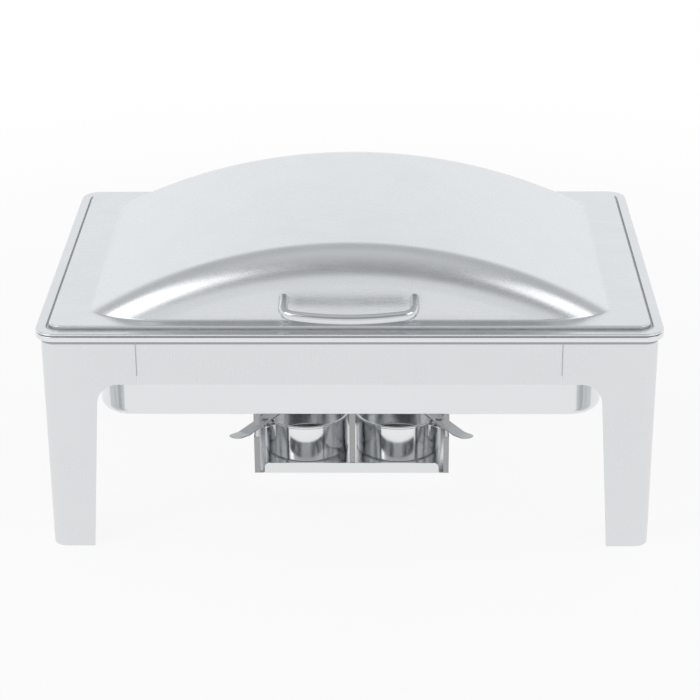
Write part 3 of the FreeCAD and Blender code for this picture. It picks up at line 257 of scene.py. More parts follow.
def bevel(bm, geom, offset, segments, affect="EDGES"):
    """Rounds edges, or corners where vertices are affected."""
    bmesh.ops.bevel(
        bm,
        geom=geom,
        offset=offset,
        offset_type="OFFSET",
        segments=segments,
        profile=0.5,
        affect=affect,
        material=-1,
    )


def spin(bm, geom, centre, axis, turn, steps, merge=False):
    """Turns a profile about an axis; returns the edges where it ends."""
    made = bmesh.ops.spin(
        bm,
        geom=geom,
        cent=centre,
        axis=axis,
        angle=turn,
        steps=steps,
        use_merge=merge,
        use_normal_flip=False,
        use_duplicate=False,
    )
    return only(BMEdge, made["geom_last"])


def cut(bm, place, normal, **clear):
    """Cuts the whole mesh along a plane; returns the edges of the cut."""
    geom = bm.verts[:] + bm.edges[:] + bm.faces[:]
    made = bmesh.ops.bisect_plane(
        bm, geom=geom, dist=TINY, plane_co=place, plane_no=normal, **clear
    )
    return only(BMEdge, made["geom_cut"])


def ring(bm, outline, inset, height):
    """Edges of a rounded rectangle at one height, set in from an outline, which is a length,
    a depth and a corner radius."""
    length, depth, corner = outline
    known = set(bm.faces)
    verts = bmesh.ops.create_grid(bm, x_segments=1, y_segments=1, size=0.5)["verts"]
    bmesh.ops.scale(bm, verts=verts, vec=(length - inset * 2, depth - inset * 2, 1))
    bmesh.ops.translate(bm, verts=verts, vec=(0, 0, height))
    bevel(bm, verts, max(corner - inset, MM), CORNER_STEPS, "VERTICES")
    made = [face for face in bm.faces if face not in known]
    edges = list(made[0].edges)
    bmesh.ops.delete(bm, geom=made, context="FACES_ONLY")
    return edges


def corner_arc(stop, left, front):
    """Middle and radius of one corner of a stop, which is an outline, an inset and a height."""
    (length, depth, corner), inset, height = stop
    radius = max(corner - inset, MM)
    across = (length / 2 - inset - radius) * left
    along = (depth / 2 - inset - radius) * front
    return Vector((across, along, height)), radius


def sweep(bm, stops):
    """Pulls a rounded rectangle from stop to stop, corner by corner; returns its last edges."""
    edges = ring(bm, *stops[0])
    for before, after in zip(stops, stops[1:]):
        edges, verts = pull(bm, edges)
        for left in (-1, 1):
            for front in (-1, 1):
                corner = [vert for vert in verts if vert.co.x * left > 0 and vert.co.y * front > 0]
                start, start_radius = corner_arc(before, left, front)
                end, end_radius = corner_arc(after, left, front)
                grow = end_radius / start_radius
                space = Matrix.Translation(-start)
                bmesh.ops.scale(bm, verts=corner, vec=(grow, grow, 1), space=space)
                bmesh.ops.translate(bm, verts=corner, vec=end - start)
    return edges


def pull(bm, edges, reach=(0, 0, 0)):
    """Extrudes a loop of edges along a line; returns its new edges and vertices."""
    made = bmesh.ops.extrude_edge_only(bm, edges=edges)["geom"]
    verts = set(only(BMVert, made))
    bmesh.ops.translate(bm, verts=list(verts), vec=reach)
    return [edge for edge in only(BMEdge, made) if verts.issuperset(edge.verts)], list(verts)


def turn_points(across, up, radius, start, end, steps=5):
    """Points of a rounded profile: places across and up, from one angle to another in degrees."""
    angles = [radians(start + (end - start) * n / steps) for n in range(steps + 1)]
    return [(across + radius * cos(a), up + radius * sin(a)) for a in angles]


def rounding(outline, inset, height, radius, start, end, steps=5):
    """Ring stops round a bend whose middle is inset from the outline; 0 degrees looks outwards."""
    points = turn_points(-inset, height, radius, start, end, steps)
    return [(outline, -across, up) for across, up in points]


def face_skin(bm, towards):
    """Turns an open skin so that more of its area looks along a direction than away from it."""
    bm.normal_update()
    shown = sum(face.normal.dot(towards) * face.calc_area() for face in bm.faces)
    if shown < 0:
        bmesh.ops.reverse_faces(bm, faces=bm.faces)


def finish_piece(bm, name, body, finish, slot, node, wall=0.0, edge=0.0):
    """Makes the mesh a smooth shaded object that rides on a body and stands for a CAD node."""
    mesh = bpy.data.meshes.new(name)
    bm.to_mesh(mesh)
    bm.free()
    mesh.shade_smooth()
    mesh.set_sharp_from_angle(angle=SMOOTH_BELOW)
    mesh.materials.append(finishes()[finish])
    piece = bpy.data.objects.new(name, mesh)
    bpy.context.scene.collection.objects.link(piece)
    if wall:
        solid = piece.modifiers.new("Wall", "SOLIDIFY")
        solid.thickness = wall
        solid.offset = -1
        solid.use_quality_normals = True
    if edge:
        soft = piece.modifiers.new("Edges", "BEVEL")
        soft.width = edge
        soft.segments = 2
        soft.limit_method = "ANGLE"
        soft.angle_limit = SOFTEN_ABOVE
        soft.harden_normals = True
    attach(piece, body)
    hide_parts(node)
    return piece


def close_skin(bm, towards=None):
    """Merges doubles and turns the faces outwards, or an open skin towards a direction."""
    bmesh.ops.remove_doubles(bm, verts=bm.verts, dist=TINY)
    bmesh.ops.recalc_face_normals(bm, faces=bm.faces)
    if towards is not None:
        face_skin(bm, towards)


def dress(finish, slot, *nodes):
    """Merged copies of CAD nodes' meshes with softened edges, each standing for its node."""
    edge = bpy.context.scene.dish_burner.edge
    for node in nodes:
        bm = bmesh.new()
        bm.from_mesh(frame["nodes"][node].data)
        bmesh.ops.remove_doubles(bm, verts=bm.verts, dist=TINY)
        bmesh.ops.dissolve_limit(bm, angle_limit=FLAT_BELOW, verts=bm.verts, edges=bm.edges)
        body = body_of(frame["nodes"][node])[0]
        finish_piece(bm, f"{node}-finished", body, finish, slot, node, edge=edge)


# Finishes

def add(tree, kind, sockets=None, **settings):
    """Adds a node with its settings, and fills its sockets with values or links."""
    made = tree.nodes.new(kind)
    for name, value in settings.items():
        setattr(made, name, value)
    for socket, value in (sockets or {}).items():
        if isinstance(value, bpy.types.NodeSocket):
            tree.links.new(value, made.inputs[socket])
        else:
            made.inputs[socket].default_value = value
    return made


def metal(name, tint, dull):
    """A fully metallic material of that roughness, its node tree and Object coordinates."""
    finish = bpy.data.materials.new(name)
    finish.use_nodes = True
    tree = finish.node_tree
    shader = tree.nodes["Principled BSDF"]
    shader.inputs["Base Color"].default_value = (*tint, 1)
    shader.inputs["Metallic"].default_value = 1
    shader.inputs["Roughness"].default_value = dull
    return finish, tree, add(tree, "ShaderNodeTexCoord").outputs["Object"]


def surface(tree, rough, hue, relief, depth, under=None):
    """Gives the shader its roughness and colour, and a relief of a depth in millimetres, which
    may lie on another one."""
    shader = tree.nodes["Principled BSDF"]
    tree.links.new(rough, shader.inputs["Roughness"])
    tree.links.new(hue, shader.inputs["Base Color"])
    sockets = {"Height": relief, "Distance": depth * MM, "Strength": 1.0}
    if under is not None:
        sockets["Normal"] = under
    bump = add(tree, "ShaderNodeBump", sockets)
    tree.links.new(bump.outputs[0], shader.inputs["Normal"])


def per(millimetres):
    """Noise scale for features of that size."""
    return 1 / (millimetres * MM)


def spread(tree, value, low, high):
    """Maps the middle of a noise to a range of values."""
    sockets = {"Value": value, 1: NOISE_LOW, 2: NOISE_HIGH, 3: low, 4: high}
    return add(tree, "ShaderNodeMapRange", sockets).outputs["Result"]


def shade(tree, value, tint, darkest):
    """Varies a colour between itself and a slightly darker one."""
    dark = [channel * darkest for channel in tint]
    sockets = {0: value, 6: (*dark, 1), 7: (*tint, 1)}
    return add(tree, "ShaderNodeMix", sockets, data_type="RGBA").outputs[2]


def paint_shade(tree, hue, tint, shade_limits):
    """Paints shade: turns a colour towards a third of a tint between two limits."""
    amount = add(tree, "ShaderNodeMapRange", shade_limits).outputs["Result"]
    dark = (*(channel * 0.33 for channel in tint), 1)
    sockets = {0: amount, 6: hue, 7: dark}
    return add(tree, "ShaderNodeMix", sockets, data_type="RGBA").outputs[2]


def polished_steel(name, tint, dull, underside_shade=False):
    """Pressed stainless sheet, buffed bright. The eye sees clear soft-edged reflections, bent
    a little by the press, with fine wiping lines and slightly duller clouds. Where asked,
    the pan is coloured a little darker below the bend into its floor, a painted shade."""
    finish, tree, place = metal(name, tint, dull)
    press = add(tree, "ShaderNodeTexNoise", {"Vector": place, "Scale": per(70), "Detail": 1.0})
    along = add(tree, "ShaderNodeMapping", {"Vector": place, "Scale": (0.04, 1.0, 1.0)})
    # buffing lines of about 0.3 mm are drawn 1.2 mm wide, so that they show
    sockets = {"Vector": along.outputs[0], "Scale": per(1.2), "Detail": 2.0}
    lines = add(tree, "ShaderNodeTexNoise", sockets).outputs[0]
    cloud = add(tree, "ShaderNodeTexNoise", {"Vector": place, "Scale": per(45), "Detail": 4.0})
    rough = spread(tree, cloud.outputs[0], dull - 0.02, dull + 0.03)
    streak = spread(tree, lines, -0.02, 0.03)
    rough = add(tree, "ShaderNodeMath", {0: rough, 1: streak}, operation="ADD").outputs[0]
    hue = shade(tree, cloud.outputs[0], tint, 0.97)
    if underside_shade:
        # painted shade: below the bend into the floor the pan is coloured darker
        height = add(tree, "ShaderNodeSeparateXYZ", {0: place}).outputs["Z"]
        hue = paint_shade(tree, hue, tint, {"Value": height, 1: 131 * MM, 2: 129 * MM, 3: 0.0, 4: 0.12})
    sockets = {"Height": press.outputs[0], "Distance": 0.25 * MM, "Strength": 1.0}
    wave = add(tree, "ShaderNodeBump", sockets)
    surface(tree, rough, hue, lines, 0.006, wave.outputs[0])
    return finish


def satin_steel(tint):
    """Cold rolled stainless sheet with a fine upright grind. The eye sees an even light grey
    with a soft sheen, faint close upright lines, and a dark line under the rim, a painted shadow
    of the pan's rim."""
    finish, tree, place = metal("Satin rolled steel", tint, 0.26)
    upright = add(tree, "ShaderNodeMapping", {"Vector": place, "Scale": (1.0, 1.0, 0.03)})
    # grinding lines of about 0.2 mm are drawn 1 mm wide, so that they show
    sockets = {"Vector": upright.outputs[0], "Scale": per(1.0), "Detail": 3.0}
    lines = add(tree, "ShaderNodeTexNoise", sockets).outputs[0]
    cloud = add(tree, "ShaderNodeTexNoise", {"Vector": place, "Scale": per(60), "Detail": 3.0})
    rough = spread(tree, cloud.outputs[0], 0.22, 0.3)
    streak = spread(tree, lines, -0.02, 0.02)
    rough = add(tree, "ShaderNodeMath", {0: rough, 1: streak}, operation="ADD").outputs[0]
    height = add(tree, "ShaderNodeSeparateXYZ", {0: place}).outputs["Z"]
    # painted shadow of the pan's rim: a band of the sheet just under the rim is coloured darker
    shade_limits = {"Value": height, 1: 229.5 * MM, 2: 230.8 * MM, 3: 0.0, 4: 0.8}
    hue = paint_shade(tree, shade(tree, lines, tint, 0.985), tint, shade_limits)
    surface(tree, rough, hue, lines, 0.002)
    return finish


def annealed_steel(name, tint, shade_reach=0):
    """Bright annealed stainless strip, cut and folded. The eye sees clear dark and light
    streaks of what stands near, with duller blotches. Where a reach in millimetres is given,
    upright front edges further out and to the front than it are coloured darker, a painted shade."""
    finish, tree, place = metal(name, tint, 0.14)
    blotch = add(tree, "ShaderNodeTexNoise", {"Vector": place, "Scale": per(30), "Detail": 5.0})
    # the rolls' pitting of about 0.1 mm is drawn 0.8 mm wide, so that it shows
    pits = add(tree, "ShaderNodeTexNoise", {"Vector": place, "Scale": per(0.8), "Detail": 2.0})
    rough = spread(tree, blotch.outputs[0], 0.1, 0.2)
    hue = shade(tree, blotch.outputs[0], tint, 0.96)
    if shade_reach:
        # painted shade: darker beyond the reach, out to the sides and to the front
        axes = add(tree, "ShaderNodeSeparateXYZ", {0: place}).outputs
        side = add(tree, "ShaderNodeMath", {0: axes["X"]}, operation="ABSOLUTE").outputs[0]
        sockets = {0: side, 1: axes["Y"]}
        out = add(tree, "ShaderNodeMath", sockets, operation="SUBTRACT").outputs[0]
        shade_limits = {"Value": out, 1: shade_reach * MM, 2: (shade_reach + 2) * MM, 3: 0.0, 4: 0.8}
        hue = paint_shade(tree, hue, tint, shade_limits)
    surface(tree, rough, hue, pits.outputs[0], 0.004)
    return finish


def spun_steel(name, tint, middle, dull):
    """Steel spun and lathe polished about an upright axis, whose place across is given. The eye
    sees bright bands with soft rings of tool marks, and slightly duller clouds."""
    finish, tree, place = metal(name, tint, dull)
    centred = add(tree, "ShaderNodeMapping", {"Vector": place, "Location": (-middle, 0, 0)})
    # tool marks of about 0.4 mm are drawn as soft rings 9 mm apart, so that they show: a wave's
    # rings are a tenth of pi apart on its own scale
    sockets = {"Vector": centred.outputs[0], "Scale": per(30), "Distortion": 0.6, "Detail": 2.0}
    kind = {"wave_type": "RINGS", "rings_direction": "SPHERICAL"}
    marks = add(tree, "ShaderNodeTexWave", sockets, **kind)
    cloud = add(tree, "ShaderNodeTexNoise", {"Vector": place, "Scale": per(18), "Detail": 4.0})
    rough = spread(tree, cloud.outputs[0], dull - 0.04, dull + 0.04)
    hue = shade(tree, cloud.outputs[0], tint, 0.95)
    surface(tree, rough, hue, marks.outputs[1], 0.008)
    return finish


def bright_rod(tint):
    """Tumble polished stainless bar and strip. The eye sees sharp narrow highlights with
    tiny rounded dents from handling."""
    finish, tree, place = metal("Bright tumbled steel", tint, 0.12)
    sockets = {"Vector": place, "Scale": per(6), "Detail": 3.0}
    dents = add(tree, "ShaderNodeTexNoise", sockets).outputs[0]
    rough = spread(tree, dents, 0.09, 0.18)
    surface(tree, rough, shade(tree, dents, tint, 0.94), dents, 0.02)
    return finish


def fastener_steel(tint):
    """Cold headed rivets, turned studs and screws. The eye sees small satin domes, darker
    than the sheet, with specks in the finish."""
    finish, tree, place = metal("Cold headed steel", tint, 0.3)
    sockets = {"Vector": place, "Scale": per(1.2), "Detail": 3.0}
    specks = add(tree, "ShaderNodeTexNoise", sockets).outputs[0]
    rough = spread(tree, specks, 0.22, 0.4)
    surface(tree, rough, shade(tree, specks, tint, 0.85), specks, 0.02)
    return finish


def creased_steel(tint):
    """Steel at the bottom of a pressed groove, rougher than the sheet round it and coloured
    darker, a painted shade of the groove. The eye sees a thin dark line, dull and slightly uneven."""
    finish, tree, place = metal("Shaded pressed groove", tint, 0.4)
    sockets = {"Vector": place, "Scale": per(9), "Detail": 4.0}
    polish = add(tree, "ShaderNodeTexNoise", sockets).outputs[0]
    rough = spread(tree, polish, 0.34, 0.5)
    surface(tree, rough, shade(tree, polish, tint, 0.8), polish, 0.02)
    return finish


made_finishes = {}


def finishes():
    """The steel finishes by name, made on first use."""
    if made_finishes:
        return made_finishes
    colours = bpy.context.scene.dish_finishes
    cup = bpy.context.scene.dish_burner.cup_x
    made_finishes.update(
        polished=polished_steel("Polished pressed steel", colours.polished, 0.27),
        drawn=polished_steel("Polished drawn steel", colours.polished, 0.14, underside_shade=True),
        satin=satin_steel(colours.satin),
        annealed=annealed_steel("Bright annealed steel", colours.annealed),
        tray=annealed_steel("Annealed tray steel", colours.annealed, shade_reach=165),
        partition=annealed_steel("Annealed plate steel", colours.annealed, shade_reach=65),
        left_cup=spun_steel("Spun steel left", colours.spun, -cup, 0.14),
        right_cup=spun_steel("Spun steel right", colours.spun, cup, 0.14),
        damper=spun_steel("Turned damper steel", colours.damper, 0, 0.36),
        rod=bright_rod(colours.rod),
        fastener=fastener_steel(colours.fastener),
        crease=creased_steel(colours.crease),
    )
    return made_finishes


# Stand

class DISH_OT_legs(bpy.types.Operator):
    """Four legs, cut from flat sheet with hollow knees and bent round the stand's corners"""

    bl_idname = "dish.legs"
    bl_label = "Make legs"

    def execute(self, context):
        sizes = context.scene.dish_stand
        x, y = sizes.length / 2, sizes.depth / 2
        for label, turn in CORNERS.items():
            bm = bmesh.new()
            cut_leg_blank(bm, sizes)
            bend_leg(bm, sizes)
            bmesh.ops.rotate(bm, verts=bm.verts, matrix=Matrix.Rotation(radians(turn), 3, "Z"))
            corner = (-x if "left" in label else x, -y if "front" in label else y, 0)
            bmesh.ops.translate(bm, verts=bm.verts, vec=corner)
            close_skin(bm, Vector(corner).normalized())
            args = (f"{label}_leg", "stand", "satin", "satin_steel", f"leg_{label}")
            finish_piece(bm, *args, wall=sizes.sheet, edge=sizes.seam)
        return {"FINISHED"}


def bend_length(sizes):
    """Half of the sheet that goes round a leg's bend."""
    return sizes.corner * pi / 4


def cut_leg_blank(bm, sizes):
    """Flat leg blank in the XZ plane, with hollow knees and cuts where it will bend."""
    half_bend = bend_length(sizes)
    widths = (sizes.leg_plate, sizes.leg_top, sizes.leg_foot)
    plate, top, foot = (width - sizes.corner + half_bend for width in widths)
    lean = atan2(sizes.leg_top - sizes.leg_foot, sizes.apron_low)
    knee_x = top + sizes.knee / tan((pi / 2 + lean) / 2)
    start = bm.verts.new((knee_x, 0, sizes.apron_low))
    centre = (knee_x, 0, sizes.apron_low - sizes.knee)
    spin(bm, [start], centre, (0, 1, 0), lean - pi / 2, CORNER_STEPS)
    end = min(bm.verts, key=lambda vert: vert.co.z)
    below = [end] + [bm.verts.new((x, 0, 0)) for x in (foot, 0)]
    above = [(plate, sizes.apron_low), (plate, sizes.height), (0, sizes.height)]
    above = [start] + [bm.verts.new((x, 0, z)) for x, z in above]
    for chain in (below, above):
        for pair in zip(chain, chain[1:]):
            bm.edges.new(pair)
    bmesh.ops.mirror(bm, geom=bm.verts[:] + bm.edges[:], merge_dist=TINY, axis="X")
    bmesh.ops.contextual_create(bm, geom=bm.edges[:])
    for n in range(CORNER_STEPS + 1):
        across = half_bend * (2 * n / CORNER_STEPS - 1)
        cut(bm, (across, 0, 0), (1, 0, 0))


def bend_leg(bm, sizes):
    """Rolls the flat blank round the leg's corner."""
    half_bend = bend_length(sizes)
    radius = sizes.corner
    for vert in bm.verts:
        across = vert.co.x
        turn = min(max((across + half_bend) / radius, 0), pi / 2)
        past = max(abs(across) - half_bend, 0)
        x = radius - radius * cos(turn)
        y = radius - radius * sin(turn)
        vert.co.x = x + (past if across > 0 else 0)
        vert.co.y = y + (past if across < 0 else 0)


class DISH_OT_aprons(bpy.types.Operator):
    """Four aprons with a folded hem along the lower edge"""

    bl_idname = "dish.aprons"
    bl_label = "Make aprons"

    def execute(self, context):
        sizes = context.scene.dish_stand
        for side, turn in SIDES.items():
            along = sizes.length if turn % 180 == 0 else sizes.depth
            away = sizes.depth if turn % 180 == 0 else sizes.length
            bm = bmesh.new()
            fold_apron(bm, sizes, along / 2 - sizes.leg_plate - sizes.gap)
            bmesh.ops.translate(bm, verts=bm.verts, vec=(0, -away / 2, 0))
            bmesh.ops.rotate(bm, verts=bm.verts, matrix=Matrix.Rotation(radians(turn), 3, "Z"))
            args = (f"{side}_apron", "stand", "satin", "satin_steel", f"apron_{side}")
            finish_piece(bm, *args, edge=sizes.seam)
        return {"FINISHED"}


def fold_apron(bm, sizes, half):
    """Apron from its side view: one sheet, doubled along the hem with a rounded fold."""
    sheet = sizes.sheet
    low, high = sizes.apron_low, sizes.height
    outline = [
        (0, low),
        (0, high),
        (sheet, high),
        (sheet, low + sizes.hem),
        (sheet * 2, low + sizes.hem),
        (sheet * 2, low),
    ]
    verts = [bm.verts.new((-half, y, z)) for y, z in outline]
    side = bmesh.ops.contextual_create(bm, geom=verts)["faces"]
    moved = bmesh.ops.extrude_face_region(bm, geom=side, use_keep_orig=True)["geom"]
    bmesh.ops.translate(bm, verts=only(BMVert, moved), vec=(half * 2, 0, 0))
    fold = [
        edge
        for edge in bm.edges
        if all(abs(v.co.z - low) < TINY for v in edge.verts) and edge.calc_length() > half
    ]
    bevel(bm, fold, sheet * 0.6, 5)
    close_skin(bm)


class DISH_OT_stand_details(bpy.types.Operator):
    """Backing plates behind the seams, straps under the pan and their rivets"""

    bl_idname = "dish.stand_details"
    bl_label = "Finish straps and seams"

    def execute(self, context):
        # the plates behind the seams take the groove's darker colour, a painted shade in the seam
        # gaps
        dress("crease", "satin_steel", "seam_plates")
        dress("annealed", "tray_steel", "burner_strap_front", "burner_strap_back")
        dress("fastener", "fastener_steel", "strap_rivets")
        return {"FINISHED"}


# Pans

class DISH_OT_water_pan(bpy.types.Operator):
    """Deep drawn water pan with a wide flange and a turned-down rim"""

    bl_idname = "dish.water_pan"
    bl_label = "Make water pan"

    def execute(self, context):
        sizes = context.scene.dish_pan
        rim = (sizes.rim_length, sizes.rim_depth, sizes.rim_corner)
        well = (sizes.well_length, sizes.well_depth, sizes.well_corner)
        roll, bend = sizes.bead_round, sizes.well_round
        lip = 2 * MM
        stops = [(rim, sizes.bead, sizes.bead_low)]
        stops += rounding(rim, roll, sizes.bead_low + roll, roll, -90, 0)
        stops += rounding(rim, roll, sizes.top - roll, roll, 0, 90)
        stops += [(rim, roll + MM, sizes.top), (well, -lip - MM, sizes.top)]
        stops += rounding(well, -lip, sizes.top - lip, lip, 90, 180)
        stops += rounding(well, bend, sizes.well_low + bend, bend, 0, -90, FLOOR_STEPS)
        stops += [(well, bend + MM, sizes.well_low)]
        draw_pan(stops, "water_well", "drawn", "water_pan", sizes.sheet)
        return {"FINISHED"}


def draw_pan(stops, name, finish, node, sheet):
    """A pan from its ring stops, rim first, with a flat floor inside the last one."""
    bm = bmesh.new()
    floor = sweep(bm, stops)
    bmesh.ops.triangle_fill(bm, use_beauty=True, use_dissolve=True, edges=floor)
    close_skin(bm, UP)
    finish_piece(bm, name, "pan", finish, "polished_steel", node, wall=sheet)


class DISH_OT_food_pan(bpy.types.Operator):
    """Food pan with tapered walls that hangs in the water pan"""

    bl_idname = "dish.food_pan"
    bl_label = "Make food pan"

    def execute(self, context):
        sizes = context.scene.dish_pan
        sheet = sizes.food_sheet
        rim = (sizes.food_length, sizes.food_depth, sizes.food_corner)
        top = sizes.top + sheet
        low = top - sizes.food_height + sheet
        inset = sizes.food_inset * 2 + sheet * 2
        base = (rim[0] - inset, rim[1] - inset, sizes.food_base - sheet)
        lip = 2.5 * MM
        slope = tan(sizes.food_taper)
        bend = sizes.food_round - sheet
        flare = (top - low) * slope
        stops = [(rim, 0, top - sheet * 0.5), (rim, 0.3 * MM, top)]
        stops += rounding(base, -flare - lip, top - lip, lip, 90, 180)
        stops += [(base, -bend * slope, low + bend)]
        stops += rounding(base, bend, low + bend, bend, 0, -90, FLOOR_STEPS)[1:]
        stops += [(base, bend + MM, low)]
        draw_pan(stops, "food_tray", "polished", "food_pan", sheet)
        return {"FINISHED"}


# Lid

class DISH_OT_lid(bpy.types.Operator):
    """Lid pressed from one sheet: turned edge, band, raised panel and dome"""

    bl_idname = "dish.lid"
    bl_label = "Make lid"

    def execute(self, context):
        sizes = context.scene.dish_lid
        pan = context.scene.dish_pan
        bm = bmesh.new()
        foot = raise_dome(bm, sizes)
        outline = (pan.rim_length, pan.rim_depth, pan.rim_corner)
        panel = press_edge(bm, sizes, outline)
        straighten(foot + panel)
        bmesh.ops.triangle_fill(bm, use_beauty=True, use_dissolve=False, edges=foot + panel)
        for x in (-sizes.hinge, sizes.hinge):
            low = Vector((x - sizes.notch / 2, pan.rim_depth / 2 - sizes.bead, sizes.low - MM))
            high = Vector((x + sizes.notch / 2, pan.rim_depth / 2 + MM, sizes.notch_top))
            cut_notch(bm, low, high)
        close_skin(bm, UP)
        args = ("lid", "lid", "polished", "polished_steel", "lid_shell")
        piece = finish_piece(bm, *args, wall=sizes.sheet)
        # the second slot colours the groove darker, a painted shade
        piece.data.materials.append(finishes()["crease"])
        return {"FINISHED"}


def straighten(edges):
    """Rounds the places of edges to a micrometre, so that a fill finds their straight rows
    exactly straight and leaves no flat triangles along them."""
    for vert in {vert for edge in edges for vert in edge.verts}:
        vert.co = [round(place, 6) for place in vert.co]


def raise_dome(bm, sizes):
    """Vault and end faces with rounded ridges above the panel; returns the edges of their foot."""
    vault_steps, ridge_steps = 140, 18
    # the vault starts wider and longer than it ends up, and is cut back
    spare_width, spare_depth = 1.25, 1.2
    half = sizes.chord / 2
    radius = (half * half + sizes.rise * sizes.rise) / (sizes.rise * 2)
    centre_z = sizes.panel_top + sizes.rise - radius
    sweep_half = atan2(half, radius - sizes.rise) * spare_width
    lean = tan(pi / 2 - sizes.end_slope)
    depth = sizes.end_foot * spare_depth
    start = bm.verts.new((-radius * sin(sweep_half), -depth, centre_z + radius * cos(sweep_half)))
    spin(bm, [start], (0, 0, centre_z), (0, 1, 0), sweep_half * 2, vault_steps)
    pull(bm, bm.edges[:], (0, depth * 2, 0))
    for side in (-1, 1):
        raise_end(bm, sizes, side, lean, centre_z)
    # only the ridges fold by more than a radian
    ridges = [edge for edge in bm.edges if edge.is_manifold and abs(edge.calc_face_angle(0)) > 1]
    bevel(bm, ridges, sizes.ridge * tan(sizes.end_slope / 2), ridge_steps)
    lift = sizes.foot * 0.4
    for height, clear in ((lift + MM, False), (lift, True)):
        cut(bm, (0, 0, sizes.panel_top + height), (0, 0, 1), clear_inner=clear)
    return spread_foot(bm, sizes, lift)


def raise_end(bm, sizes, side, lean, centre_z):
    """Cuts the vault along one leaning end face and fills the face below the ridge."""
    foot = Vector((0, sizes.end_foot * side, sizes.panel_top))
    outwards = Vector((0, side, lean)).normalized()
    ridge = cut(bm, foot, outwards, clear_outer=True)
    _, low = pull(bm, ridge)
    centre = Vector((0, foot.y + (foot.z - centre_z) * lean * side, centre_z))
    # the face's lower edge is the ridge shrunk towards the vault's axis, well below the panel
    shrink = 0.68
    space = Matrix.Translation(-centre)
    bmesh.ops.scale(bm, verts=low, vec=(shrink, shrink, shrink), space=space)


def spread_foot(bm, sizes, lift):
    """Runs the dome's open foot out into the panel through a hollow rounding."""
    edges = [edge for edge in bm.edges if edge.is_boundary]
    # the rounding reaches further out beside the vault than before the end faces
    across, along = lift * 2.8, lift * 1.6
    # height left above the panel and way out, each as a share of the rounding
    steps = ((1.0, 0.0), (0.5, 0.22), (0.17, 0.52), (0.0, 1.0), (0.0, 2.5))
    for (high, near), (low, far) in zip(steps, steps[1:]):
        edges, verts = pull(bm, edges, (0, 0, (low - high) * lift))
        step = far - near
        wider = (1 + across * step / (sizes.chord / 2), 1 + along * step / sizes.end_foot, 1)
        bmesh.ops.scale(bm, verts=verts, vec=wider)
    return edges


def press_edge(bm, sizes, outline):
    """Turned edge, band, groove and step up to the panel; returns the edges of the panel."""
    length, depth, _ = outline
    panel = (length - sizes.band * 2, depth - sizes.band * 2, sizes.panel_corner)
    under, over, lip = 0.8 * MM, 1.2 * MM, 0.6 * MM
    groove = sizes.groove
    stops = [(outline, sizes.bead, sizes.low)]
    stops += rounding(outline, under, sizes.low + under, under, -90, 0)
    stops += rounding(outline, over, sizes.band_top - over, over, 0, 90)[1:]
    stops += [(outline, over + MM, sizes.band_top)]
    stops += [(panel, -groove * 2 - lip - MM, sizes.band_top)]
    stops += rounding(panel, -groove * 2 - lip, sizes.band_top - lip, lip, 90, 180)
    stops += rounding(panel, -groove, sizes.band_top - lip, groove, 0, -180, 8)[1:]
    stops += rounding(panel, over, sizes.panel_top - over, over, 0, 90)
    stops += [(panel, over + MM, sizes.panel_top)]
    edges = sweep(bm, stops)
    band = sizes.band - groove * 2 - lip
    # faces of the groove and the step up to the panel take the second slot's painted shade
    for face in bm.faces:
        middle = face.calc_center_median()
        if inward(middle, outline) > band and middle.z < sizes.panel_top - over:
            face.material_index = 1
    return edges


def inward(place, outline):
    """How far a place lies inside an outline with round corners."""
    length, depth, corner = outline
    across = abs(place.x) - length / 2 + corner
    along = abs(place.y) - depth / 2 + corner
    if across > 0 and along > 0:
        return corner - hypot(across, along)
    return corner - max(across, along)


def cut_notch(bm, low, high):
    """Cuts the skin along the sides of a box and takes away what lies inside it."""
    margin = Vector((MM, MM, MM)) * 2
    for n in range(3):
        axis = Vector((0, 0, 0))
        axis[n] = 1
        for limit in (low, high):
            near = [face for face in bm.faces if overlaps(face, low - margin, high + margin)]
            edges = {edge for face in near for edge in face.edges}
            verts = {vert for face in near for vert in face.verts}
            geom = [*near, *edges, *verts]
            bmesh.ops.bisect_plane(bm, geom=geom, dist=TINY, plane_co=limit, plane_no=axis)
    inside = []
    for face in bm.faces:
        middle = face.calc_center_median()
        if all(low[n] < middle[n] < high[n] for n in range(3)):
            inside.append(face)
    bmesh.ops.delete(bm, geom=inside, context="FACES")


def overlaps(face, low, high):
    """Whether a face reaches into a box."""
    for n in range(3):
        places = [vert.co[n] for vert in face.verts]
        if max(places) < low[n] or min(places) > high[n]:
            return False
    return True


# Handle and hinges

class DISH_OT_handle(bpy.types.Operator):
    """Bent rod handle with its screws and washers"""

    bl_idname = "dish.handle"
    bl_label = "Make handle"

    def execute(self, context):
        sizes = context.scene.dish_handle
        lid = context.scene.dish_lid
        bm = bmesh.new()
        bend_rod(bm, sizes)
        tilt = Matrix.Rotation(sizes.tilt, 3, "X")
        bmesh.ops.rotate(bm, verts=bm.verts, matrix=tilt)
        bmesh.ops.translate(bm, verts=bm.verts, vec=(0, sizes.root_y, sizes.root_z))
        outwards = Vector((0, -1, tan(pi / 2 - lid.end_slope))).normalized()
        foot = Vector((0, -lid.end_foot, lid.panel_top))
        ends = cut(bm, foot, outwards, clear_inner=True)
        bmesh.ops.holes_fill(bm, edges=ends, sides=0)
        close_skin(bm)
        args = ("handle", "lid", "rod", "fitting_steel", "lid_handle")
        finish_piece(bm, *args, edge=sizes.end_edge)
        dress("fastener", "fastener_steel", "handle_screws", "handle_washers")
        return {"FINISHED"}


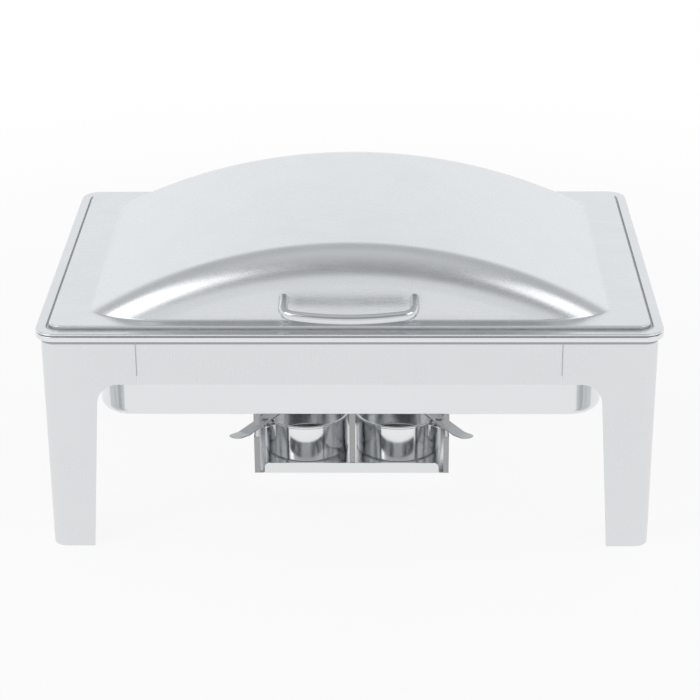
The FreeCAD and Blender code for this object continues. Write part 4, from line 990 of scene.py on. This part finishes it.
def bend_rod(bm, sizes):
    """Rod in the XY plane: leg, bend, long bow, bend, leg."""
    round_steps, bend_steps, bow_steps = 32, 14, 40
    across = sizes.span / 2 - sizes.bend
    along = sizes.bow - sizes.bend
    bow_y = sizes.bow - sizes.reach
    bend_y = bow_y - sqrt(along * along - across * across)
    lean = atan2(across, sqrt(along * along - across * across))
    radius = sizes.rod / 2
    verts = bmesh.ops.create_circle(bm, segments=round_steps, radius=radius)["verts"]
    bmesh.ops.rotate(bm, verts=verts, matrix=Matrix.Rotation(pi / 2, 3, "X"))
    bmesh.ops.translate(bm, verts=verts, vec=(-sizes.span / 2, sizes.rod, 0))
    edges = list({edge for vert in verts for edge in vert.link_edges})
    edges, _ = pull(bm, edges, (0, bend_y - sizes.rod, 0))
    edges = spin(bm, edges, (-across, bend_y, 0), UP, pi / 2 - lean, bend_steps)
    edges = spin(bm, edges, (0, bow_y, 0), UP, lean * 2, bow_steps)
    edges = spin(bm, edges, (across, bend_y, 0), UP, pi / 2 - lean, bend_steps)
    pull(bm, edges, (0, sizes.rod - bend_y, 0))


class DISH_OT_hinges(bpy.types.Operator):
    """Hinge leaves, pins and their rivets"""

    bl_idname = "dish.hinges"
    bl_label = "Finish hinges"

    def execute(self, context):
        for side in ("left", "right"):
            parts = [f"{part}_{side}" for part in ("hinge_base", "hinge_leaf", "hinge_pin")]
            dress("rod", "fitting_steel", *parts)
        dress("fastener", "fastener_steel", "hinge_base_rivets", "hinge_leaf_rivets")
        return {"FINISHED"}


# Burners

class DISH_OT_cups(bpy.types.Operator):
    """Two spun fuel cups with rolled rims"""

    bl_idname = "dish.cups"
    bl_label = "Make fuel cups"

    def execute(self, context):
        sizes = context.scene.dish_burner
        for side, sign in (("left", -1), ("right", 1)):
            bm = bmesh.new()
            spin_cup(bm, sizes)
            bmesh.ops.translate(bm, verts=bm.verts, vec=(sizes.cup_x * sign, 0, 0))
            close_skin(bm)
            name = f"{side}_cup"
            finish_piece(bm, name, "stand", name, "fuel_steel", f"fuel_cup_{side}")
        return {"FINISHED"}


def spin_cup(bm, sizes):
    """Cup from its half section: underside, wall, rolled rim, inside."""
    radius, sheet = sizes.cup_radius, sizes.cup_sheet
    bend, bead = sizes.cup_round, sizes.cup_bead
    low, top = sizes.cup_low, sizes.cup_top
    # the rolled rim stands out this far beyond the wall
    overhang = 1.2 * MM
    points = [(0, low)]
    points += turn_points(radius - bend, low + bend, bend, -90, 0)
    points += [(radius, top - bead * 2)]
    points += turn_points(radius + overhang - bead, top - bead, bead, -70, 180, 14)
    inner = radius - sheet
    points += turn_points(inner - bend, low + sheet + bend, bend, 0, -90)
    points += [(0, low + sheet)]
    verts = [bm.verts.new((x, 0, z)) for x, z in points]
    edges = [bm.edges.new(pair) for pair in zip(verts, verts[1:])]
    spin(bm, verts + edges, (0, 0, 0), UP, pi * 2, 96, merge=True)


class DISH_OT_burner_tray(bpy.types.Operator):
    """Burner tray, the plate between the cups and their rivets"""

    bl_idname = "dish.burner_tray"
    bl_label = "Finish burner tray"

    def execute(self, context):
        dress("tray", "tray_steel", "burner_tray")
        dress("partition", "tray_steel", "tray_partition")
        dress("fastener", "fastener_steel", "tray_rivets", "cup_rivets")
        return {"FINISHED"}


class DISH_OT_dampers(bpy.types.Operator):
    """Dampers with their levers, brackets and studs"""

    bl_idname = "dish.dampers"
    bl_label = "Finish dampers"

    def execute(self, context):
        for side in ("left", "right"):
            dress("damper", "fuel_steel", f"damper_{side}")
            dress("annealed", "tray_steel", f"damper_bracket_{side}")
            dress("fastener", "fastener_steel", f"damper_pivot_{side}")
        return {"FINISHED"}


# Studio

class DISH_OT_stage(bpy.types.Operator):
    """Pale floor, soft studio light and the camera at the photograph's angle"""

    bl_idname = "dish.stage"
    bl_label = "Make stage"

    def execute(self, context):
        scene = context.scene
        lay_floor(scene)
        light_studio(scene)
        hang_lamp(scene, "left", around=-59, over=44, width=1.42, height=1.24, power=8.0)
        hang_lamp(scene, "right", around=64, over=47, width=1.1, height=0.92, power=4.0)
        place_camera(scene)
        scene.view_settings.view_transform = "Standard"
        # light reaches the insides of tray and cups after many turns between bright sheets
        scene.cycles.glossy_bounces = 12
        return {"FINISHED"}


def seen_directly(tree):
    """1 for rays that show the background itself: camera, glossy and transmission rays."""
    path = add(tree, "ShaderNodeLightPath").outputs
    rays = (path["Is Camera Ray"], path["Is Glossy Ray"])
    two = add(tree, "ShaderNodeMath", {0: rays[0], 1: rays[1]}, operation="MAXIMUM")
    sockets = {0: two.outputs[0], 1: path["Is Transmission Ray"]}
    return add(tree, "ShaderNodeMath", sockets, operation="MAXIMUM").outputs[0]


def lay_floor(scene):
    """Wide floor that shows nearly white and keeps the dish's shadow."""
    bm = bmesh.new()
    bmesh.ops.create_grid(bm, x_segments=8, y_segments=8, size=6)
    mesh = bpy.data.meshes.new("floor")
    bm.to_mesh(mesh)
    bm.free()
    floor = bpy.data.objects.new("floor", mesh)
    scene.collection.objects.link(floor)
    finish = bpy.data.materials.new("Matt white paper")
    finish.use_nodes = True
    tree = finish.node_tree
    tree.nodes.clear()
    place = add(tree, "ShaderNodeTexCoord").outputs["Object"]
    fibre = add(tree, "ShaderNodeTexNoise", {"Vector": place, "Scale": per(4), "Detail": 4.0})
    tint = shade(tree, fibre.outputs[0], scene.dish_finishes.floor, 0.98)
    paper = add(tree, "ShaderNodeBsdfDiffuse", {"Color": tint})
    glow = add(tree, "ShaderNodeEmission", {"Strength": 1.0})
    # away from the dish and its shadow the floor turns as white as the studio behind it
    near, far, least = 0.5, 1.5, 0.89
    away = add(tree, "ShaderNodeVectorMath", {0: place}, operation="LENGTH").outputs["Value"]
    sockets = {"Value": away, 1: near, 2: far, 3: least, 4: 1.0}
    share = add(tree, "ShaderNodeMapRange", sockets, interpolation_type="SMOOTHSTEP")
    sockets = {0: seen_directly(tree), 1: share.outputs["Result"]}
    amount = add(tree, "ShaderNodeMath", sockets, operation="MULTIPLY")
    sockets = {0: amount.outputs[0], 1: paper.outputs[0], 2: glow.outputs[0]}
    mixed = add(tree, "ShaderNodeMixShader", sockets)
    add(tree, "ShaderNodeOutputMaterial", {"Surface": mixed.outputs[0]})
    mesh.materials.append(finish)


def light_studio(scene):
    """White studio with greyer upper walls and a brighter ceiling."""
    world = bpy.data.worlds.new("White studio")
    scene.world = world
    world.use_nodes = True
    tree = world.node_tree
    tree.nodes.clear()
    towards = add(tree, "ShaderNodeTexCoord").outputs["Generated"]
    axes = add(tree, "ShaderNodeSeparateXYZ", {0: towards}).outputs
    # what makes up the room's brightness: an axis, a start and an end along it, and the levels
    # there. The walls turn greyer upwards, the ceiling adds light, and so does the back wall,
    # while the wall behind the camera takes some away
    parts = (
        ("Z", 0.45, 0.67, 0.93, 0.46),
        ("Z", 0.85, 1.0, 0.0, 0.16),
        ("Y", -0.3, 0.3, -0.1, 0.07),
    )
    level = 0.0
    for axis, start, end, first, last in parts:
        sockets = {"Value": axes[axis], 1: start, 2: end, 3: first, 4: last}
        part = add(tree, "ShaderNodeMapRange", sockets, interpolation_type="SMOOTHSTEP")
        level = add(tree, "ShaderNodeMath", {0: level, 1: part.outputs[0]}).outputs[0]
    room = add(tree, "ShaderNodeBackground", {"Strength": level, "Color": (0.97, 0.985, 1, 1)})
    white = add(tree, "ShaderNodeBackground", {"Strength": 1.0, "Color": (1, 1, 1, 1)})
    path = add(tree, "ShaderNodeLightPath").outputs
    sockets = {0: path["Is Camera Ray"], 1: room.outputs[0], 2: white.outputs[0]}
    mixed = add(tree, "ShaderNodeMixShader", sockets)
    add(tree, "ShaderNodeOutputWorld", {"Surface": mixed.outputs[0]})


def hang_lamp(scene, name, around, over, width, height, power):
    """Large soft lamp aimed at the dish, at angles in degrees round it and over it."""
    middle, reach = Vector((0, 0, 0.2)), 2.2
    lamp = bpy.data.lights.new(f"lamp_{name}", "AREA")
    lamp.shape = "RECTANGLE"
    lamp.size = width
    lamp.size_y = height
    lamp.energy = power
    holder = bpy.data.objects.new(f"lamp_{name}", lamp)
    scene.collection.objects.link(holder)
    around, over = radians(around), radians(over)
    out = Vector((sin(around) * cos(over), -cos(around) * cos(over), sin(over)))
    spot = middle + out * reach
    aim = (middle - spot).to_track_quat("-Z", "Y")
    holder.matrix_world = Matrix.Translation(spot) @ aim.to_matrix().to_4x4()


def place_camera(scene):
    """Camera fitted to the photograph: place, lens and the three small angles."""
    place = Vector((31.8, -2158.1, 1107.4)) * MM
    pitch, yaw, lean = (radians(a) for a in (24.30, 0.90, -0.36))
    lens = bpy.data.cameras.new("camera")
    lens.sensor_width = 36
    lens.lens = 110.48
    right = Vector((cos(yaw), sin(yaw), 0))
    ahead = Vector((-sin(yaw) * cos(pitch), cos(yaw) * cos(pitch), -sin(pitch)))
    up = right.cross(ahead)
    across = right * cos(lean) + up * sin(lean)
    over = up * cos(lean) - right * sin(lean)
    camera = bpy.data.objects.new("camera", lens)
    scene.collection.objects.link(camera)
    axes = Matrix((across, over, -ahead)).transposed().to_4x4()
    camera.matrix_world = Matrix.Translation(place) @ axes
    scene.camera = camera


# Panel and registration

PIECES = (
    DISH_OT_legs,
    DISH_OT_aprons,
    DISH_OT_stand_details,
    DISH_OT_water_pan,
    DISH_OT_food_pan,
    DISH_OT_lid,
    DISH_OT_handle,
    DISH_OT_hinges,
    DISH_OT_cups,
    DISH_OT_burner_tray,
    DISH_OT_dampers,
    DISH_OT_stage,
)
GROUPS = {
    "dish_stand": StandSizes,
    "dish_pan": PanSizes,
    "dish_lid": LidSizes,
    "dish_handle": HandleSizes,
    "dish_burner": BurnerSizes,
    "dish_finishes": Finishes,
}


class DISH_PT_panel(bpy.types.Panel):
    """Lists the steps that make the dish"""

    bl_idname = "DISH_PT_panel"
    bl_label = "Chafing dish"
    bl_space_type = "VIEW_3D"
    bl_region_type = "UI"
    bl_category = "Dish"

    def draw(self, context):
        for step in PIECES:
            self.layout.operator(step.bl_idname)


def register():
    for item in (*GROUPS.values(), *PIECES, DISH_PT_panel):
        bpy.utils.register_class(item)
    for name, group in GROUPS.items():
        setattr(bpy.types.Scene, name, PointerProperty(type=group))


def unregister():
    for name in GROUPS:
        delattr(bpy.types.Scene, name)
    for item in reversed((*GROUPS.values(), *PIECES, DISH_PT_panel)):
        bpy.utils.unregister_class(item)


def main():
    register()
    for step in PIECES:
        group, name = step.bl_idname.split(".")
        getattr(getattr(bpy.ops, group), name)()


if __name__ == "__main__":
    main()
